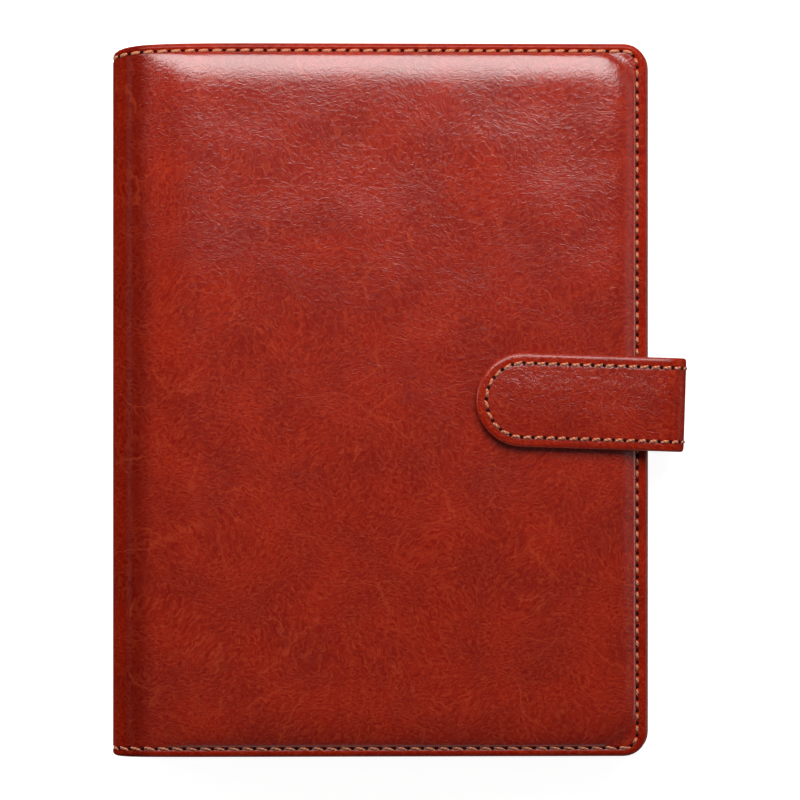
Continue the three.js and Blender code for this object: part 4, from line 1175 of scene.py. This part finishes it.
print("strap", round(strap_walk.length, 1), "mm long, split at", round(STRAP_SPLIT, 1))


def on_strap(distance, along, out):
    across, up, heading = strap_walk.at(distance)
    across += math.sin(heading) * out
    up -= math.cos(heading) * out
    run = across - SNAP_ACROSS
    return place(SNAP_ACROSS + run * math.cos(STRAP_SKEW) + along * math.sin(STRAP_SKEW),
                 along * math.cos(STRAP_SKEW) - run * math.sin(STRAP_SKEW), up)


# %% [markdown]
# A band is the simple case of such a sheet: it has two edges and no end, so it is a row of
# equal cross-sections. The strap's lower half, with the bend at the back cover, is a band,
# and its upper half is a sheet with a fully round end.


# %% Band builder
def band_piece(name, lay, start, stop, half, rings, middle_height, material, columns, rows,
               facing_out=True):
    points, flats, edges = [], [], []
    deepest = rings[-1][0]
    section = [(half - inset, out, inset, 1) for inset, out in rings]
    section += [((half - deepest) * (1 - 2 * j / rows), middle_height, MIDDLE_INSET, 0)
                for j in range(1, rows)]
    section += [(-(half - inset), out, inset, -1) for inset, out in reversed(rings)]
    for distance in spread(start, stop, columns):
        for along, out, inset, outward in section:
            height = out(distance, along) if callable(out) else out
            points.append(lay(distance, along, height))
            turned = max(0.0, -height) if inset < 1.2 else 0.0
            flats.append((distance, along + outward * turned))
            edges.append(inset)
    wide = len(section)
    lengthwise = [list(range(j, len(points), wide)) for j in range(wide)]
    return soft_mesh(name, points, strip_faces(lengthwise), flats, edges, material, facing_out)


# %% [markdown]
# The strap's leather ply has a turned edge, a stitch groove and a slight swell, which
# fades away in the bend. The lining ply under it is a plain flat sheet, set in a little.

# %% Edges of the strap
def strap_height(distance, along):
    side = STRAP_HALF - abs(along)
    end = strap_walk.length - distance
    if end < STRAP_HALF:
        side = STRAP_HALF - math.hypot(along, STRAP_HALF - end)
    swell = 0.3 * smooth(side, 3.0, 12.0)
    flat = smooth(distance, STRAP_SPLIT + 6.0, STRAP_SPLIT + 26.0)
    wave = 0.10 * slow_noise(distance * 2.2, along * 2.2, 14.0)
    return (swell + wave * min(1.0, max(0.0, side - 3.0) / 4.0)) * flat


ply_edge = [(1.0, -1.42), (0.35, -1.38), (0.06, -1.1), (0.0, -0.9), (0.08, -0.6), (0.28, -0.34),
            (0.6, -0.14), (1.0, -0.04), (1.5, 0.0), (2.7, -0.01), (3.0, -0.06), (3.25, -0.1),
            (3.5, -0.06)]
ply_edge += [(inset, strap_height) for inset in (3.8, 4.6, 5.6, 7.0, 9.0)]
UNDERSIDE = -2.6
under_edge = [(1.2, -1.5), (0.55, -1.52), (0.4, -1.7), (0.36, -2.1), (0.44, -2.42), (0.7, -2.56),
              (1.1, UNDERSIDE), (4.0, UNDERSIDE), (9.0, UNDERSIDE)]
print("strap edges drawn with", len(ply_edge), "and", len(under_edge), "rings")

# %% Leather and lining of the strap
strap_lower = band_piece("strap_lower_leather", on_strap, 9.0, STRAP_SPLIT, STRAP_HALF,
                         ply_edge, strap_height, strap_leather, 34, 8)
lower_under = band_piece("strap_lower_lining", on_strap, 14.0, STRAP_SPLIT, STRAP_HALF,
                         under_edge, UNDERSIDE, strap_back, 34, 4, facing_out=False)
strap_upper = sheet_piece("strap_tongue_leather_ply", on_strap, strap_walk.length, STRAP_HALF,
                          STRAP_HALF, [(d, d, d, out) for d, out in ply_edge], strap_height,
                          strap_leather, 60, 12, corner_steps=14, exact_until=5.6,
                          start=STRAP_SPLIT)
upper_under = sheet_piece("strap_tongue_lining_ply", on_strap, strap_walk.length, STRAP_HALF,
                          STRAP_HALF, [(d, d, d, out) for d, out in under_edge], UNDERSIDE,
                          strap_back, 50, 8, corner_steps=14, exact_until=4.0,
                          facing_out=False, start=STRAP_SPLIT)
print("strap plies:", len(strap_upper.data.vertices), "points in the tongue")


# %% Bake the strap in place
def strap_bend(first, second, arc_start, arc_length):
    """A bend of the strap over one of its rolls, with half a millimetre to spare."""
    return (first, second, on_strap(arc_start - 0.5, 0.0, 0.0),
            on_strap(arc_start + arc_length + 0.5, 0.0, 0.0))


lower_bend = strap_bend("back_cover", "strap_side", LOWER_ARC, LOWER_ROLL * math.pi / 2)
upper_bend = strap_bend("strap_side", "strap_tongue", UPPER_ARC, UPPER_ROLL * upper_turn)
for sheet, bend, nodes, slot in (
        (strap_lower, lower_bend, ("strap_root", "strap_side_leather"), "leather"),
        (strap_upper, upper_bend, ("strap_tongue_leather",), "leather"),
        (lower_under, lower_bend, ("strap_side_lining",), "lining"),
        (upper_under, upper_bend, ("strap_tongue_lining",), "lining")):
    bend_across(sheet, bend)
    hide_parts(*nodes)
print("strap bound over", round(LOWER_ARC, 1), "and", round(UPPER_ARC, 1), "mm")

# %% [markdown]
# The strap is sewn through both plies, round the tongue and on down both sides. Past the
# bend the thread sinks deeper, because the leather is pulled tight there.

# %% Stitches on the strap
STRAP_STITCH = 3.25
nose = STRAP_HALF - STRAP_STITCH
nose_at = strap_walk.length - STRAP_HALF
tongue_line = [(s, nose) for s in spread(STRAP_SPLIT, nose_at, 20)]
tongue_line += arc((nose_at, 0.0), (nose, nose), math.pi / 2, -math.pi / 2, 24)[1:]
tongue_line += [(s, -nose) for s in spread(nose_at, STRAP_SPLIT, 20)[1:]]
stitch_run("strap_tongue_stitches", on_strap, tongue_line, 3.75, cream_thread, base=-0.1,
           radius=0.48, slant=-0.14, hook=0.3, lift=0.3, seed=12.0, sunk_until=50.0,
           bend=upper_bend)
for label, side in (("a", 1), ("b", -1)):
    line = [(s, side * nose) for s in spread(LOWER_ARC + 3.0, STRAP_SPLIT, 12)]
    stitch_run("strap_side_stitches_" + label, on_strap, line, 3.75, cream_thread, base=-0.1,
               radius=0.48, slant=-0.14 * side, lift=0.3, seed=15.0 + side, bend=lower_bend)

# %% [markdown]
# Pockets and card slots
#
# Inside each cover a slip pocket is sewn on along three sides. The front one also carries
# three card slots. These panels are thin flat leather with a cut edge and a thumb scoop, so
# each is its outline with a rounded edge, filled flat.


# %% Flat panel builder
def inset_outline(outline, amount):
    count = len(outline)
    moved = []
    for i, (x, y) in enumerate(outline):
        ax, ay = outline[i - 1]
        bx, by = outline[(i + 1) % count]
        d1 = Vector((x - ax, y - ay)).normalized()
        d2 = Vector((bx - x, by - y)).normalized()
        n1, n2 = Vector((-d1.y, d1.x)), Vector((-d2.y, d2.x))
        half = n1 + n2
        half = half / max(half.length_squared / 2.0, 0.35) if half.length > 1e-6 else n1
        moved.append((x + half.x * amount, y + half.y * amount))
    return moved


# %% Panels with a cut edge
RIM = 0.16


def flat_panel(name, lay, outline, low, high, facing_out):
    """A thin pocket panel over an anticlockwise outline, between two heights."""
    loops = [(0.0, low), (0.0, high - RIM), (RIM * 0.35, high - 0.35 * RIM), (RIM, high),
             (2.4, high)]
    points, flats, edges = [], [], []
    count = len(outline)
    for inset, height in loops:
        for s, y in inset_outline(outline, inset):
            points.append(lay(s, y, height))
            flats.append((s, y))
            edges.append(inset if inset < 2.0 else MIDDLE_INSET)
    faces = tube_faces(0, len(loops), count)
    cap = inset_outline(outline, loops[-1][0])
    first = (len(loops) - 1) * count
    for tri in tessellate_polygon([[Vector((s, y, 0.0)) for s, y in cap]]):
        a, b, c = (cap[t] for t in tri)
        turn = (b[0] - a[0]) * (c[1] - a[1]) - (b[1] - a[1]) * (c[0] - a[0])
        order = tri if turn > 0 else tuple(reversed(tri))
        faces.append(tuple(first + t for t in order))
    return soft_mesh(name, points, faces, flats, edges, pocket_leather, facing_out)


def scooped_panel(x0, x1, y0, y1, corner, scoop_side, scoop_wide, scoop_deep):
    """An anticlockwise panel outline with a thumb scoop in its left or its upper edge."""
    radii = (corner, corner)
    outline = arc((x1 - corner, y0 + corner), radii, -math.pi / 2, 0.0, 6)
    outline += arc((x1 - corner, y1 - corner), radii, 0.0, math.pi / 2, 6)
    if scoop_side == "top":
        outline += arc(((x0 + x1) / 2, y1), (scoop_wide, -scoop_deep), 0.0, math.pi, 12)
    outline.append((x0, y1))
    if scoop_side == "left":
        outline += arc((x0, (y0 + y1) / 2), (scoop_deep, scoop_wide), math.pi / 2, -math.pi / 2, 12)
    return outline + [(x0, y0)]


def inner_side(lay, shift):
    """Lays a panel on a cover's inner side, with heights counted inwards from the lining."""
    return lambda across, along, inwards: lay(across + shift, along, -HEM - inwards)


in_front, in_back = inner_side(on_front, FRONT_SHIFT), inner_side(on_back, BACK_SHIFT)
print("pockets lie", HEM, "mm under the hem")

# %% [markdown]
# Both slip pockets have the same outline, open towards the spine. Their stitches keep close
# to the edge on the three closed sides. The card slots stand in a column on the front
# pocket, each open at its top.

# %% Slip pockets
POCKET_START, POCKET_END, POCKET_HALF = 30.0, 167.5, 109.5
pocket_outline = scooped_panel(POCKET_START, POCKET_END, -POCKET_HALF, POCKET_HALF, 4.5, "left",
                               14.0, 8.4)
pocket_line = three_sides(POCKET_START + 1.0, POCKET_END - 1.8, POCKET_HALF - 1.8,
                          POCKET_HALF - 1.8, (2.7, 2.7, 2.7), 12, 5)
for side, lay, facing_out, seed in (("front", in_front, False, 31.0), ("back", in_back, True, 33.0)):
    pocket = flat_panel(side + "_slip_pocket_leather", lay, pocket_outline, 0.3, 0.9, facing_out)
    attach(pocket, side + "_cover")
    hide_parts(side + "_slip_pocket")
    stitch_run(side + "_pocket_stitches", lay, pocket_line, 4.0, brown_thread, base=0.84,
               radius=0.3, cover=0.78, slant=0.08, lift=0.22, seed=seed, body=side + "_cover")

# %% Card slots
SLOT_LEFT, SLOT_WIDE, SLOT_TALL = 36.0, 90.0, 34.0
for i in range(3):
    y0 = -93.0 + 35.0 * i
    slot_outline = scooped_panel(SLOT_LEFT, SLOT_LEFT + SLOT_WIDE, y0, y0 + SLOT_TALL, 1.0, "top",
                                 9.0, 5.4)
    card_pocket = flat_panel("card_slot_leather_%d" % (i + 1), in_front, slot_outline, 1.2, 1.8,
                             facing_out=False)
    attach(card_pocket, "front_cover")
    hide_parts("card_slot_%d" % (i + 1))
    left, right, low, high = SLOT_LEFT + 1.6, SLOT_LEFT + SLOT_WIDE - 1.6, y0 + 1.6, y0 + 33.4
    slot_line = [(left, high), (left, y0 + 16.0), (left, low), (80.0, low), (right, low),
                 (right, y0 + 16.0), (right, high)]
    stitch_run("card_slot_stitches_%d" % (i + 1), in_front, slot_line, 3.6, brown_thread,
               base=1.74, radius=0.28, cover=0.78, slant=0.08, lift=0.2, seed=41.0 + i,
               body="front_cover")

# %% [markdown]
# The ring mechanism
#
# Six rings of nickel-plated wire hold the sheets. Each ring is two half-rings riveted into
# two steel leaves under an arched cover plate, and a trigger at each end tips the leaves.
# The half-rings show most, so each is swept again as a round wire with many sides: an arc,
# a short reverse bend and a leg that goes through the plate. The flat steel parts keep
# their own shape, with their sharp edges softened by a small bevel.

# %% Half-rings as round wire
RING_RADIUS, WIRE, NECK_RADIUS = 10.0, 2.8, 2.5
TIP_GAP, LEG_FOOT = 0.15, 6.2


def half_ring_walk():
    end = math.radians(135.0)
    path = arc((RING_CENTRE[0], 0.0), (RING_RADIUS, RING_RADIUS), TIP_GAP / RING_RADIUS, end, 30)
    neck = [path[-1][0] + NECK_RADIUS * math.cos(end), path[-1][1] + NECK_RADIUS * math.sin(end)]
    path += arc(neck, (NECK_RADIUS, NECK_RADIUS), end + math.pi, 2 * end, 6)[1:]
    return path + [(LEG_FOOT, path[-1][1])]


def round_wire(name, path, radius, to_point, material, sides=20):
    """A round wire along a path, with a small chamfer at its first end."""
    points = []
    for i, (x, z) in enumerate(path):
        ax, az = path[max(0, i - 1)]
        bx, bz = path[min(len(path) - 1, i + 1)]
        t = Vector((bx - ax, bz - az)).normalized()
        chamfer = [(0.0, radius - 0.16), (0.05, radius - 0.05)] if i == 0 else []
        for ahead, wide in chamfer + [(0.16 if i == 0 else 0.0, radius)]:
            for a in circle(sides):
                points.append(to_point(x + t.x * ahead - t.y * wide * math.cos(a),
                                       wide * math.sin(a),
                                       z + t.y * ahead + t.x * wide * math.cos(a)))
    wire = grid_mesh(name, points, tube_faces(0, len(points) // sides, sides, caps="start end"))
    wire.data.materials.append(material)
    return wire


for label, side in (("front", 1.0), ("back", -1.0)):
    for i, ring_at in enumerate((35.0, 54.0, 73.0, -35.0, -54.0, -73.0), start=1):
        def to_point(x, y, z, ring_at=ring_at, side=side):
            return place(x, ring_at + side * y, RING_CENTRE[1] + side * z)
        wire = round_wire("ring_wire_%s_%d" % (label, i), half_ring_walk(), WIRE / 2, to_point,
                          nickel)
        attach(wire, "ring_leaf_" + label)
        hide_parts("half_ring_%s_%d" % (label, i))
print("twelve half-rings made")

# %% [markdown]
# The plate, leaves, triggers, rivets, snap, boards and paper already have their real shape,
# so they only get a finish. The steel ones also get a small bevel, because a stamped edge
# is never quite sharp and shows as a fine bright line.

# %% Finishes on the pieces that keep their shape
KEPT = {
    nickel: ["ring_cover_plate", "rivet_top", "rivet_bottom", "leaf_front", "leaf_back",
             "trigger_top", "trigger_bottom"],
    snap_nickel: ["snap_socket", "snap_backplate", "snap_stud"],
    grey_board: ["front_board", "back_board", "spine_board"],
    ivory_paper: ["paper_block_%d" % i for i in (1, 2, 3, 4)],
    kraft_card: ["divider_%d" % i for i in (1, 2, 3, 4)] + ["back_sheet"],
    frosted_film: ["flyleaf"],
}
for finish, names in KEPT.items():
    for node_name in names:
        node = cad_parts[node_name]
        node.data.materials.clear()
        node.data.materials.append(finish)
for node_name in KEPT[nickel] + KEPT[snap_nickel]:
    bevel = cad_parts[node_name].modifiers.new("soft_edges", "BEVEL")
    bevel.width = 0.12 * MM
    bevel.segments = 2
    bevel.limit_method = "ANGLE"
    bevel.angle_limit = math.radians(35.0)
    bevel.harden_normals = True
print("kept pieces finished:", sum(len(v) for v in KEPT.values()))

# %% [markdown]
# Sizes
#
# The box of the model is printed in millimetres where the model is read in. The dressed
# book must not outgrow its model.
